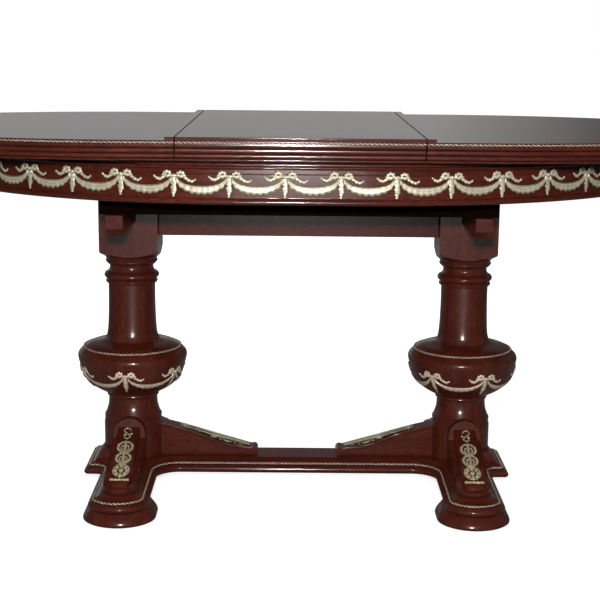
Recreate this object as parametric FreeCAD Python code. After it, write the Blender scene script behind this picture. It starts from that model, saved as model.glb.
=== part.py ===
import FreeCAD, Part
import math
import os

os.makedirs("parts", exist_ok=True)

# Double pedestal dining table, drawn open with its centre leaf in. Millimetres.
# X runs along the table, -Y is the front, Z is up from the floor.

# Tops
table_height = 775.0
top_depth = 880.0
top_straight = 240.0  # straight stretch of the long edges with the halves pushed together
top_curve_length = 600.0  # from that stretch to the end of the oval
top_end_radius = 350.0  # of the oval's end arc
leaf_width = 450.0
leaf_thickness = 43.5
leaf_stand = 6.0  # leaf and lippings stand proud of the half tops
lipping_width = 17.0
joint_gap = 0.8  # between the leaf and each lipping
edge_depth = 12.0  # of the moulding round the tops
edge_ease = 1.2
edge_rope_diameter = 4.0
edge_rope_height = 33.5  # rope's middle above the tops' underside
edge_shares = [(0, 1), (0.09, 0.84), (0.13, 0.98), (0.35, 0.66), (0.4, 0.78), (0.64, 0.42), (0.7, 0.54)]
edge_shoulder_share = 0.17  # inset of the moulding just under the rope
cleat_width = 40.0
cleat_height = 12.0
cleat_offset = 60.0

# Gaps
slide_gap = 0.3  # under the leaf and the sliding tops
seat_gap = 0.3  # round pieces seated on curved faces
runner_gap = 0.5
cut_over = 5.0  # overrun of every cut

# Apron
top_overhang = 40.0
apron_height = 82.2
apron_wall = 25.0
apron_moulding = 8.0
apron_panel_share = 0.75  # inset of the flat panel
apron_bead_share = 0.7
apron_panel_top_share = 0.78  # of its height
apron_shares = [(0, 0.35), (0.03, 0.1), (0.1, 0), (0.13, 0.25), (0.15, apron_panel_share),
                (0.66, apron_panel_share), (0.67, apron_bead_share), (0.69, apron_bead_share),
                (0.7, apron_panel_share), (apron_panel_top_share, apron_panel_share), (0.8, 0.35),
                (0.84, 0.15), (0.87, 0.35), (0.91, 0.55), (0.94, 0.1), (1, 0)]
apron_block_length = 60.0
apron_block_depth = 24.0
apron_block_height = 60.0

# Slides under the half tops
slide_travel = 60.0
left_lane_offset = 90.0
right_lane_offset = 180.0
runner_foot_width = 44.0
runner_foot_height = 10.0
runner_stem_width = 20.0
runner_foot_extension = 210.0
channel_wall = 8.0
channel_floor = 6.0
channel_lip = 7.0
channel_end_gap = 10.0  # to the apron's inner face
stop_length = 14.0

# Frame on the pedestals
pedestal_x = 354.0
arm_width = 33.0
arm_depth = 76.0
arm_nose_height = 40.0
arm_reach = 286.0
arm_bevel = 14.0
bearer_width = 40.0
bearer_setback = 21.0  # of the bearer's face behind the arm's nose
bearer_end = 31.0  # past the pedestal's axis
top_rail_height = 111.0
top_rail_thickness = 40.0
tenon_length = 20.0
tenon_thickness = 16.0
tenon_height = 70.0
saddle_width = 70.0
saddle_height = 39.0
screw_diameter = 5.0
screw_head_diameter = 10.0
screw_head_height = 4.0
saddle_screw_length = 58.0
bearer_screw_length = 62.0
runner_screw_length = 50.0
runner_screw_count = 3

# Turned pedestals
block_size = 122.0
block_height = 157.0
pommel_height = 20.0
pommel_shares = [(0.92, 0), (1.05, 0.25), (1.3, 0.6), (1.45, 1)]
column_radius = 50.0
column_runs_shares = [
    [(1.16, 0), (1.07, 0.07), (1.02, 0.2), (0.99, 0.45), (0.99, 0.68)],
    [(0.99, 0.68), (1.06, 0.685)],
    [(1.06, 0.685), (1.1, 0.705), (1.06, 0.725)],
    [(1.06, 0.725), (1.03, 0.735)],
    [(1.03, 0.735), (1.16, 0.775), (1.03, 0.82)],
    [(1.03, 0.82), (0.97, 0.83)],
    [(0.97, 0.83), (0.92, 0.87), (0.94, 0.905)],
    [(0.94, 0.905), (1, 0.91)],
    [(1, 0.91), (1.1, 0.945), (1.06, 0.97)],
    [(1.06, 0.97), (1.12, 1)],
]
bulb_radius = 116.0
bulb_height = 116.0
bulb_curve_shares = [(0.474, 0), (0.74, 0.155), (0.9, 0.34), (0.97, 0.55), (1, 0.735), (0.905, 0.85)]
bulb_rise_share = 0.04  # height of the rope's back above its ledge
bulb_top_radius_share = 0.5
bulb_rope_diameter = 4.6
drum_radius = 62.0
drum_height = 137.0
drum_runs_shares = [
    [(1, 0), (1, 0.42)],
    [(1, 0.42), (1, 0.52), (0.965, 0.6)],
    [(0.965, 0.6), (0.98, 0.63), (0.94, 0.665)],
    [(0.94, 0.665), (0.86, 0.78), (0.835, 0.88), (0.84, 0.94)],
    [(0.84, 0.94), (0.88, 0.955)],
    [(0.88, 0.955), (0.88, 1)],
]
rod_diameter = 12.0
rod_bore = 13.0
rod_end = 1.0  # rod's ends inside the counterbores
nut_across_flats = 19.0
nut_height = 10.0
washer_diameter = 24.0
washer_thickness = 2.5
counterbore_diameter = 25.0

# Platform, shoes, knees and wings
shoe_height = 31.0
shoe_reach = 245.0  # from the pedestal's axis to the shoe's middle
shoe_half_width = 73.0
shoe_straight = 36.0  # of its sides
shoe_rise = 66.0  # of its round ends
shoe_corner_radius = 58.0
shoe_flare = 15.0
shoe_shares = [(0, 0.35), (0.06, 0.14), (0.16, 0), (0.3, 0.05), (0.45, 0.2), (0.6, 0.42), (0.75, 0.66),
               (0.88, 0.85), (1, 1)]
platform_thickness = 29.0
platform_moulding = 25.0
platform_ledge_share = 0.57
platform_ledge_inset_share = 0.5
platform_shares = [(0, 0.2), (0.1, 0.04), (0.3, 0), (0.5, 0.08), (0.555, 0.22),
                   (platform_ledge_share, platform_ledge_inset_share), (0.76, 0.54), (0.9, 0.8), (1, 1)]
stretcher_half_width = 60.0
foot_half_width = 59.0
foot_reach = 289.0  # from the pedestal's axis to where the foot's round end begins
foot_rise = 45.0  # of that end
foot_corner_radius = 30.0
inner_corner_radius = 48.0
outer_corner_radius = 16.0
stub_length = 97.0
stub_half_width = 79.0
stub_rise = 20.0
base_rope_diameter = 4.5
rope_bend_radius = 6.0
knee_reach = 290.0
knee_height = 95.0
knee_width = 66.0
knee_bar_width = 46.0
knee_case_shares = [(0.1, 0), (1, 0), (0.985, 0.06), (0.94, 0.1), (0.29, 0.58), (0.27, 1), (0.1, 1)]
knee_bar_shares = [(0.1, 0), (0.955, 0), (0.945, 0.1), (0.92, 0.18), (0.3, 0.81), (0.1, 0.81)]
wing_reach = 270.0
wing_height = 71.0
wing_web = 28.0
wing_cap_width = 42.0
wing_cap_depth = 11.0
wing_scroll_radius = 8.5
wing_curve_shares = [(0.1, 1), (0.22, 0.98), (0.42, 0.82), (0.585, 0.62), (0.745, 0.39), (0.967, 0.24)]
wing_strip_width = 26.0
wing_strip_thickness = 3.0
wing_strip_start_share = 0.36
wing_strip_end_share = 0.94

# Brass bows and swags
garland_thickness = 3.0
frieze_garland_height = 47.0
frieze_garland_drop = 5.0  # of its bows under the panel's top
frieze_garland_count = 34
first_bow_x = -27.0
bulb_garland_height = 48.0
bulb_garland_count = 6
bulb_garland_foot_share = 0.145  # of the bulb's height, under the garlands
left_bow_angle = -92.0
right_bow_angle = -70.0
swag_reach_share = 0.4
swag_top_shares = (0.68, 0.32)  # of the garland's height, at the swag's ends and in its middle
swag_bottom_shares = (0.54, 0.09)
bow_shares = [(0, 0.84), (0.04, 0.86), (0.08, 0.98), (0.15, 1), (0.19, 0.86), (0.35, 0.74),
              (0.34, 0.66), (0.17, 0.73), (0.05, 0.67), (0.035, 0.2), (0, 0)]
ornament_thickness = 4.0
# each rosette's place along the knee's slope, and its radius
ornament_rosette_shares = [(0.1, 0.17), (0.25, 0.27), (0.42, 0.4), (0.61, 0.4), (0.8, 0.38)]
ornament_spine_width = 6.0
ornament_bar_thickness = 8.0
ornament_side = 3.0  # of the bar inside the knee's raised face

# Heights worked out from the sizes above
tops_under = table_height - leaf_thickness
half_top = table_height - leaf_stand
apron_top = tops_under - slide_gap
apron_bottom = apron_top - apron_height
block_bottom = apron_bottom - block_height
platform_top = shoe_height + platform_thickness
drum_top = platform_top + drum_height
bulb_top = drum_top + bulb_height
saddle_top = apron_bottom + saddle_height
arm_bottom = apron_bottom - arm_depth
bearer_bottom = arm_bottom + arm_nose_height
leaf_edge = leaf_width / 2
half_start = leaf_edge + joint_gap + lipping_width
bearer_face = arm_reach - bearer_setback

V = FreeCAD.Vector
ORIGIN = V(0, 0, 0)
UP = V(0, 0, 1)
ALONG = V(1, 0, 0)
ACROSS = V(0, 1, 0)


def save(name, *shapes):
    """Writes one node: a solid, or a group of solids."""
    solids = [solid for shape in shapes for solid in shape.Solids]
    group = solids[0] if len(solids) == 1 else Part.makeCompound(solids)
    group.exportStep(f"parts/{name}.step")


def block(x, y, z):
    """A box between pairs of coordinates."""
    return Part.makeBox(x[1] - x[0], y[1] - y[0], z[1] - z[0], V(x[0], y[0], z[0]))


def rod(radius, bottom, top, x=0, y=0):
    """A vertical cylinder."""
    return Part.makeCylinder(radius, top - bottom, V(x, y, bottom))


def polygon(points):
    return Part.Face(Part.makePolygon([*points, points[0]]))


def line(start, end):
    return Part.makeLine(start, end)


def arc(x, y, radius, start, end):
    """A level arc about (x, y), between two angles in radians."""
    angles = (start, (start + end) / 2, end)
    points = [V(x + radius * math.cos(a), y + radius * math.sin(a), 0) for a in angles]
    return Part.Arc(*points).toShape()


def curve(points):
    """A straight edge through two points, or a smooth one through more."""
    if len(points) == 2:
        return line(*points)
    spline = Part.BSplineCurve()
    spline.interpolate(points)
    return spline.toShape()


def revolved(edges):
    """A whole turn of a closed outline about the Z axis."""
    full_turn = 360
    return Part.Face(Part.Wire(edges)).revolve(ORIGIN, UP, full_turn)


def turned(runs, x=0, y=0):
    """A solid turned about a vertical axis, its outline given as runs of (radius, height)."""
    edges = [curve([V(r, 0, z) for r, z in run]) for run in runs]
    (first, low), (last, high) = runs[0][0], runs[-1][-1]
    edges += [line(V(last, 0, high), V(0, 0, high)), line(V(0, 0, high), V(0, 0, low))]
    edges += [line(V(0, 0, low), V(first, 0, low))]
    return revolved(edges).translated(V(x, y, 0))


def scaled_runs(runs, radius, bottom, height):
    return [[(r * radius, bottom + z * height) for r, z in run] for run in runs]


def stacked(outline, levels):
    """A moulded plate: the same outline at several heights, each with its own inset."""
    wires = [outline(inset).translated(V(0, 0, z)) for z, inset in levels]
    return Part.makeLoft(wires, True, True)


def tube(edges, diameter, z):
    """A round bar along level edges."""
    path = Part.Wire(edges).translated(V(0, 0, z))
    first = path.Edges[0]
    start = first.valueAt(first.FirstParameter)
    ring = Part.Wire(Part.makeCircle(diameter / 2, start, first.tangentAt(first.FirstParameter)))
    return path.makePipeShell([ring], True, False)


def mirrored(shape, normal):
    return shape.mirror(ORIGIN, normal)


def both_sides(name, shape):
    """Saves a piece of the right pedestal, and its mirror image on the left."""
    save(f"right_{name}", shape)
    save(f"left_{name}", mirrored(shape, ALONG))


def end_arcs(x, inset):
    """The oval's right end, an arc between two flatter ones, beginning at a given X."""
    side, length, end = top_depth / 2, top_curve_length, top_end_radius
    flank = ((length - end) ** 2 + side**2 - end**2) / (2 * (side - end))
    turn = -math.atan2(flank - side, length - end)
    quarter = math.pi / 2
    return [
        arc(x, flank - side, flank - inset, -quarter, turn),
        arc(x + length - end, 0, end - inset, turn, -turn),
        arc(x, side - flank, flank - inset, -turn, quarter),
    ]


def apron_edges(inset, start=0):
    """The apron's whole outline, from a point on its front."""
    x, y = top_straight / 2, top_depth / 2 - top_overhang - inset
    right = end_arcs(x, top_overhang + inset)
    half_turn = 180
    left = [edge.rotated(ORIGIN, UP, half_turn) for edge in right]
    front = [line(V(start, -y, 0), V(x, -y, 0)), *right]
    return [*front, line(V(x, y, 0), V(-x, y, 0)), *left, line(V(-x, -y, 0), V(start, -y, 0))]


def apron_wire(inset):
    return Part.Wire(apron_edges(inset))


def apron_well(inset):
    """What lies inside the apron's inner face, over its whole height."""
    wire = apron_wire(apron_wall + inset).translated(V(0, 0, apron_bottom - cut_over))
    return Part.Face(wire).extrude(V(0, 0, apron_height + 2 * cut_over))


def half_edges(inset, start):
    """The moulded edge of the right half top, from the front corner round to the back one."""
    x, y = leaf_edge + top_straight / 2, top_depth / 2 - inset
    return [line(V(start, -y, 0), V(x, -y, 0)), *end_arcs(x, inset), line(V(x, y, 0), V(start, y, 0))]


def half_wire(inset):
    y = top_depth / 2 - inset
    return Part.Wire([*half_edges(inset, half_start), line(V(half_start, y, 0), V(half_start, -y, 0))])


def edge_levels(top):
    """Heights and insets of the tops' edge, from the underside to the given top face."""
    reach = edge_rope_diameter / 2 + seat_gap
    middle = tops_under + edge_rope_height
    back = edge_rope_diameter + seat_gap
    levels = [(tops_under + z * edge_rope_height, inset * edge_depth) for z, inset in edge_shares]
    levels += [(middle - reach - seat_gap, edge_shoulder_share * edge_depth), (middle - reach, back)]
    levels += [(middle + reach, back), (middle + reach + seat_gap, 0)]
    return levels + [(top - edge_ease, 0), (top, edge_ease)]


edge_rope_inset = edge_rope_diameter / 2
edge_rope_z = tops_under + edge_rope_height


def edge_bar(start, end):
    """A length of the leaf's section, running across the table with its moulding on both ends."""
    back = [V(start, top_depth / 2 - inset, z) for z, inset in edge_levels(table_height)]
    front = [V(start, inset - top_depth / 2, z) for z, inset in reversed(edge_levels(table_height))]
    return polygon([*back, *front]).extrude(V(end - start, 0, 0))


def screw(length, x, y, head, points):
    """A countersunk screw: the head's flat face at a height, the shank pointing up (1) or down (-1)."""
    place, radius = V(x, y, head), screw_diameter / 2
    cone = Part.makeCone(screw_head_diameter / 2, radius, screw_head_height, place, UP * points)
    shank = Part.makeCylinder(radius, length, place, UP * points)
    return cone.fuse(shank).removeSplitter()


# Leaf: top, cleats between the apron's rails, ropes in its two moulded ends
cleat_reach = top_depth / 2 - top_overhang - apron_wall - runner_gap
leaf_rope = tube([line(V(-leaf_edge, edge_rope_inset - top_depth / 2, 0),
                       V(leaf_edge, edge_rope_inset - top_depth / 2, 0))], edge_rope_diameter, edge_rope_z)
cleat_z = (tops_under - cleat_height, tops_under)
cleats = [block((x - cleat_width / 2, x + cleat_width / 2), (-cleat_reach, cleat_reach), cleat_z)
          for x in (-cleat_offset, cleat_offset)]
save("leaf_top", edge_bar(-leaf_edge, leaf_edge))
save("leaf_cleats", *cleats)
save("leaf_ropes", leaf_rope, mirrored(leaf_rope, ACROSS))

# The slide channels end near the apron's inner face, and the runners stop short of that by their travel
tunnel_width = runner_foot_width + 2 * runner_gap
channel_half = tunnel_width / 2 + channel_wall
inner_radius = top_end_radius - top_overhang - apron_wall
oval_end_x = top_straight / 2 + top_curve_length - top_end_radius
room_end = oval_end_x + math.sqrt(inner_radius**2 - (right_lane_offset + channel_half) ** 2)
channel_end = room_end - channel_end_gap
runner_outer = channel_end - stop_length - slide_gap - slide_travel

# Half tops, with the lipping, edge rope and T-shaped runners of each
foot_z = saddle_top + channel_floor + runner_gap
runner_inner = half_start - runner_foot_extension
runner_stem_length = runner_outer - half_start
half_plate = stacked(half_wire, edge_levels(half_top))
half_rope = tube(half_edges(edge_rope_inset, leaf_edge + joint_gap), edge_rope_diameter, edge_rope_z)
lipping = edge_bar(leaf_edge + joint_gap, half_start)
for side, lane in (("left", left_lane_offset), ("right", right_lane_offset)):
    runners, screws = [], []
    for y in (-lane, lane):
        foot = block((runner_inner, runner_outer), (y - runner_foot_width / 2, y + runner_foot_width / 2),
                     (foot_z, foot_z + runner_foot_height))
        stem = block((half_start, runner_outer), (y - runner_stem_width / 2, y + runner_stem_width / 2),
                     (foot_z, tops_under))
        runners.append(foot.fuse(stem).removeSplitter())
        spacing = runner_stem_length / (runner_screw_count + 1)
        screws += [screw(runner_screw_length, half_start + spacing * (n + 1), y, foot_z, 1)
                   for n in range(runner_screw_count)]
    screw_group = Part.makeCompound(screws)
    pieces = {"half_top": half_plate.cut(screw_group), "lipping": lipping, "edge_rope": half_rope,
              "runners": Part.makeCompound(runners).cut(screw_group), "runner_screws": screw_group}
    for name, piece in pieces.items():
        save(f"{side}_{name}", piece if side == "right" else mirrored(piece, ALONG))

# Slide channels on the saddle rails, open on top for the runners' stems, plugged at their ends
tunnel_z = (saddle_top + channel_floor, foot_z + runner_foot_height + runner_gap)
channel_z = (saddle_top, tunnel_z[1] + channel_lip)
slot_half = runner_stem_width / 2 + runner_gap
channels, stops = [], []
for y in (-right_lane_offset, -left_lane_offset, left_lane_offset, right_lane_offset):
    body = block((-channel_end, channel_end), (y - channel_half, y + channel_half), channel_z)
    tunnel_x = (-channel_end - cut_over, channel_end + cut_over)
    tunnel = block(tunnel_x, (y - tunnel_width / 2, y + tunnel_width / 2), tunnel_z)
    slot = block(tunnel_x, (y - slot_half, y + slot_half), (tunnel_z[0], channel_z[1] + cut_over))
    channels.append(body.cut(tunnel.fuse(slot)))
    for x in ((-channel_end, stop_length - channel_end), (channel_end - stop_length, channel_end)):
        stops.append(block(x, (y - tunnel_width / 2, y + tunnel_width / 2), tunnel_z))
save("slide_channels", *channels)
save("slide_end_stops", *stops)

# Apron: a moulded ring cut into two straight rails and four bent quarters
apron_levels = [(apron_bottom + z * apron_height, inset * apron_moulding) for z, inset in apron_shares]
apron_ring = stacked(apron_wire, apron_levels).cut(apron_well(0))
far = top_straight / 2 + top_curve_length
near = top_straight / 2
apron_z = (apron_bottom - cut_over, apron_top + cut_over)
for name, y in (("front", (-top_depth, 0)), ("back", (0, top_depth))):
    save(f"{name}_apron_rail", apron_ring.common(block((-near, near), y, apron_z)))
    save(f"{name}_left_apron_quarter", apron_ring.common(block((-far, -near), y, apron_z)))
    save(f"{name}_right_apron_quarter", apron_ring.common(block((near, far), y, apron_z)))
well = apron_well(seat_gap)
glue_z = (apron_top - apron_block_height - cut_over, apron_top - cut_over)
inner_side = top_depth / 2 - top_overhang - apron_wall
inner_end = top_straight / 2 + top_curve_length - top_overhang - apron_wall
half_block = apron_block_length / 2
glue_blocks = []
for side in (-1, 1):
    y = sorted((side * (inner_side - apron_block_depth), side * inner_side))
    glue_blocks += [block((x - half_block, x + half_block), y, glue_z).common(well) for x in (-near, near)]
    x = sorted((side * (inner_end - apron_block_depth), side * inner_end))
    glue_blocks.append(block(x, (-half_block, half_block), glue_z).common(well))
save("apron_glue_blocks", *glue_blocks)

# Frame: arms through the head blocks, bearers on the arms' ends, saddle rails across
bearer_y = (bearer_face - bearer_width, bearer_face)
bearer_x = pedestal_x + bearer_end
bearer = block((-bearer_x, bearer_x), bearer_y, (bearer_bottom, apron_bottom))
saddle_x = (pedestal_x - saddle_width / 2, pedestal_x + saddle_width / 2)
saddle = block(saddle_x, (-inner_side, inner_side), (apron_bottom, saddle_top)).common(well)
half_arm = [V(0, 0, arm_bottom), V(0, arm_reach - arm_bevel, arm_bottom),
            V(0, arm_reach, arm_bottom + arm_bevel), V(0, arm_reach, bearer_bottom),
            V(0, bearer_y[0], bearer_bottom), V(0, bearer_y[0], apron_bottom)]
arm_points = [*half_arm, *[V(0, -p.y, p.z) for p in reversed(half_arm[1:])]]
arm = polygon(arm_points).extrude(V(arm_width, 0, 0)).translated(V(pedestal_x - arm_width / 2, 0, 0))
bearer_middle = bearer_face - bearer_width / 2
frame_screws = []
for x in (-pedestal_x, pedestal_x):
    for y in (-bearer_middle, bearer_middle):
        frame_screws.append(screw(bearer_screw_length, x, y, arm_bottom, 1))
        for offset in (-saddle_width / 4, saddle_width / 4):
            frame_screws.append(screw(saddle_screw_length, x + offset, y, saddle_top, -1))
frame_screw_group = Part.makeCompound(frame_screws)
save("frame_screws", *frame_screws)
save("back_bearer", bearer.cut(frame_screw_group))
save("front_bearer", mirrored(bearer.cut(frame_screw_group), ACROSS))
both_sides("saddle_rail", saddle.cut(frame_screw_group))

# Tie rods with a washer and a nut at each end, sunk into the platform's underside and the arm's top
sink = nut_height + washer_thickness + rod_end
axis_bore = rod(rod_bore / 2, shoe_height - cut_over, apron_bottom + cut_over, pedestal_x)
lower_sink = rod(counterbore_diameter / 2, shoe_height - cut_over, shoe_height + sink, pedestal_x)
upper_sink = rod(counterbore_diameter / 2, apron_bottom - sink, apron_bottom + cut_over, pedestal_x)
tie_rod = rod(rod_diameter / 2, shoe_height + rod_end, apron_bottom - rod_end, pedestal_x)
hexagon = [V(nut_across_flats / math.sqrt(3) * math.cos(n * math.pi / 3),
             nut_across_flats / math.sqrt(3) * math.sin(n * math.pi / 3), 0) for n in range(6)]
washers, nuts = [], []
for x in (-pedestal_x, pedestal_x):
    for washer_z, nut_z in ((shoe_height + sink - washer_thickness, shoe_height + rod_end),
                            (apron_bottom - sink, apron_bottom - sink + washer_thickness)):
        shank = rod(rod_diameter / 2, shoe_height, apron_bottom, x)
        washers.append(rod(washer_diameter / 2, washer_z, washer_z + washer_thickness, x).cut(shank))
        nuts.append(polygon(hexagon).extrude(V(0, 0, nut_height)).translated(V(x, 0, nut_z)).cut(shank))
save("tie_rods", tie_rod, mirrored(tie_rod, ALONG))
save("tie_rod_washers", *washers)
save("tie_rod_nuts", *nuts)
both_sides("arm", arm.cut(frame_screw_group).cut(axis_bore.fuse(upper_sink)))

# Column: turned shaft under a square head block with a rounded lower end. A rail joins the two blocks.
half_size = block_size / 2
pommel_top = block_bottom + pommel_height
pommel_run = [(r * half_size, block_bottom + z * pommel_height) for r, z in pommel_shares]
widest = pommel_run[-1][0]
head_x = (pedestal_x - half_size, pedestal_x + half_size)
head = block(head_x, (-half_size, half_size), (block_bottom, apron_bottom))
head = head.common(turned([pommel_run, [(widest, pommel_top), (widest, apron_bottom)]], pedestal_x))
shaft_runs = scaled_runs(column_runs_shares, column_radius, bulb_top, block_bottom - bulb_top)
shaft = turned(shaft_runs, pedestal_x)
slot_x = (pedestal_x - arm_width / 2, pedestal_x + arm_width / 2)
arm_slot = block(slot_x, (-block_size, block_size), (arm_bottom, apron_bottom + cut_over))
rail_z = (apron_bottom - top_rail_height, apron_bottom)
tenon_middle = apron_bottom - top_rail_height / 2
tenon_y = (-tenon_thickness / 2, tenon_thickness / 2)
tenon_z = (tenon_middle - tenon_height / 2, tenon_middle + tenon_height / 2)
tenon_x = pedestal_x - half_size + tenon_length
tenon = block((-tenon_x, tenon_x), tenon_y, tenon_z)
rail_x = pedestal_x - half_size
rail = block((-rail_x, rail_x), (-top_rail_thickness / 2, top_rail_thickness / 2), rail_z)
save("top_rail", rail.fuse(tenon).removeSplitter())
both_sides("column", shaft.fuse(head).cut(arm_slot).cut(tenon).cut(axis_bore).removeSplitter())

# Bulb, with a ledge for the rope round its rim
bulb_run = [(r * bulb_radius, drum_top + z * bulb_height) for r, z in bulb_curve_shares]
rim_radius, rim_z = bulb_run[-1]
ledge_radius = rim_radius - bulb_rope_diameter - seat_gap
ledge_back = rim_z + bulb_rise_share * bulb_height
bulb_runs = [bulb_run, [(rim_radius, rim_z), (ledge_radius, rim_z)],
             [(ledge_radius, rim_z), (ledge_radius, ledge_back)],
             [(ledge_radius, ledge_back), (bulb_top_radius_share * bulb_radius, bulb_top)]]
both_sides("bulb", turned(bulb_runs, pedestal_x).cut(axis_bore))
rope_ring = Part.makeTorus(ledge_radius + seat_gap + bulb_rope_diameter / 2, bulb_rope_diameter / 2,
                           V(pedestal_x, 0, rim_z + seat_gap + bulb_rope_diameter / 2))
save("bulb_ropes", rope_ring, mirrored(rope_ring, ALONG))

# Drum, and the room that pieces set against it keep clear
drum_runs = scaled_runs(drum_runs_shares, drum_radius, platform_top, drum_height)
drum = turned(drum_runs, pedestal_x).cut(axis_bore)
both_sides("drum", drum)
clear_runs = [[(r + seat_gap, z) for r, z in run] for run in drum_runs]
drum_room = turned(clear_runs, pedestal_x)


def round_end(y, half_width, rise, corner, inset):
    """A round front end on the right pedestal's line, one arc between two tighter ones, beginning at -y."""
    crown = (half_width**2 + rise**2 - 2 * half_width * corner) / (2 * (rise - corner))
    turn = math.atan2(crown - rise, half_width - corner)
    side = half_width - corner
    return [
        arc(pedestal_x - side, -y, corner - inset, -math.pi, turn - math.pi),
        arc(pedestal_x, crown - rise - y, crown - inset, turn - math.pi, -turn),
        arc(pedestal_x + side, -y, corner - inset, -turn, 0),
    ]


def platform_edges(inset, bend=0):
    """The right platform's outline, from the stretcher's front edge round foot, stub and foot."""
    x, half_pi = pedestal_x, math.pi / 2
    half, foot, stub = stretcher_half_width - inset, foot_half_width - inset, stub_half_width - inset
    inner, outer = inner_corner_radius + inset, outer_corner_radius + inset
    joint = x - foot_half_width - inner_corner_radius
    end = x + stub_length - inset
    front = [
        arc(joint, -half - inner, inner, half_pi, 0),
        line(V(x - foot, -half - inner, 0), V(x - foot, -foot_reach, 0)),
        *round_end(foot_reach, foot_half_width, foot_rise, foot_corner_radius, inset),
        line(V(x + foot, -foot_reach, 0), V(x + foot, -stub - outer, 0)),
        arc(x + foot + outer, -stub - outer, outer, math.pi, half_pi),
        line(V(x + foot + outer, -stub, 0), V(end - bend, -stub, 0)),
    ]
    if bend:
        front.append(arc(end - bend, bend - stub, bend, -half_pi, 0))
    back = [mirrored(edge, ACROSS) for edge in reversed(front)]
    return [*front, line(V(end, bend - stub, 0), V(end, stub - bend, 0)), *back]


def platform_wire(inset):
    half = stretcher_half_width - inset
    joint = pedestal_x - foot_half_width - inner_corner_radius
    edges = [*platform_edges(inset), line(V(joint, half, 0), V(joint, -half, 0))]
    return Part.Wire(Part.__sortEdges__(edges))


# Platform boards, the stretcher between them, and the rope on their ledge
platform_levels = [(shoe_height + z * platform_thickness, i * platform_moulding)
                   for z, i in platform_shares]
stub_top = pedestal_x + stub_length - platform_moulding
wedge_start = pedestal_x + knee_width / 2 + seat_gap
stub_wedge = polygon([V(wedge_start, 0, platform_top), V(stub_top, 0, platform_top),
                      V(pedestal_x + drum_radius, 0, platform_top + stub_rise),
                      V(wedge_start, 0, platform_top + stub_rise)])
wedge_half = stub_half_width - platform_moulding
stub_cap = stub_wedge.extrude(V(0, 2 * wedge_half, 0)).translated(V(0, -wedge_half, 0)).cut(drum_room)
platform = stacked(platform_wire, platform_levels).fuse(stub_cap).removeSplitter()
both_sides("foot_platform", platform.cut(axis_bore.fuse(lower_sink)))
stretcher_end = pedestal_x - foot_half_width - inner_corner_radius
stretcher_front = [V(-stretcher_end, i - stretcher_half_width, z) for z, i in platform_levels]
stretcher_back = [V(-stretcher_end, stretcher_half_width - i, z) for z, i in reversed(platform_levels)]
save("stretcher_board", polygon([*stretcher_front, *stretcher_back]).extrude(V(2 * stretcher_end, 0, 0)))
rope_inset = platform_ledge_inset_share * platform_moulding - base_rope_diameter / 2 - seat_gap
rope_z = shoe_height + platform_ledge_share * platform_thickness + base_rope_diameter / 2 + seat_gap
rope_path = Part.__sortEdges__(platform_edges(rope_inset, rope_bend_radius))
platform_rope = tube(rope_path, base_rope_diameter, rope_z)
rope_y = stretcher_half_width - rope_inset
stretcher_path = [line(V(-stretcher_end, rope_y, 0), V(stretcher_end, rope_y, 0))]
stretcher_rope = tube(stretcher_path, base_rope_diameter, rope_z)
save("base_ropes", platform_rope, mirrored(platform_rope, ALONG),
     stretcher_rope, mirrored(stretcher_rope, ACROSS))


def shoe_wire(inset):
    """A shoe's outline about the foot's middle line, round at its front and its back."""
    half, straight = shoe_half_width - inset, shoe_straight / 2
    front = round_end(straight, shoe_half_width, shoe_rise, shoe_corner_radius, inset)
    back = [mirrored(edge, ACROSS) for edge in front]
    sides = [line(V(x, -straight, 0), V(x, straight, 0)) for x in (pedestal_x - half, pedestal_x + half)]
    return Part.Wire(Part.__sortEdges__([*front, *back, *sides])).translated(V(0, shoe_reach, 0))


# Shoes, flared under the feet's round ends
shoe = stacked(shoe_wire, [(z * shoe_height, i * shoe_flare) for z, i in shoe_shares])
both_sides("rear_shoe", shoe)
both_sides("front_shoe", mirrored(shoe, ACROSS))


def knee_slab(shares, width):
    """A wedge running out along the rear foot, round at its nose."""
    x = pedestal_x - width / 2
    side = polygon([V(x, d * knee_reach, platform_top + z * knee_height) for d, z in shares])
    middle = max(d for d, z in shares) * knee_reach - width / 2
    sides = block((x, x + width), (0, middle), (platform_top, drum_top))
    plan = sides.fuse(rod(width / 2, platform_top, drum_top, pedestal_x, middle))
    return side.extrude(V(width, 0, 0)).common(plan)


# Knee blocks: an arch-topped case against the drum with a raised sloping bar
spring = platform_top + knee_height - knee_width / 2
arch_x = (pedestal_x - knee_width / 2, pedestal_x + knee_width / 2)
arch = block(arch_x, (0, knee_reach), (platform_top, spring))
arch = arch.fuse(Part.makeCylinder(knee_width / 2, knee_reach, V(pedestal_x, 0, spring), ACROSS))
knee = knee_slab(knee_case_shares, knee_width).common(arch).fuse(knee_slab(knee_bar_shares, knee_bar_width))
knee = knee.cut(drum_room).removeSplitter()
both_sides("rear_knee", knee)
both_sides("front_knee", mirrored(knee, ACROSS))

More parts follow.
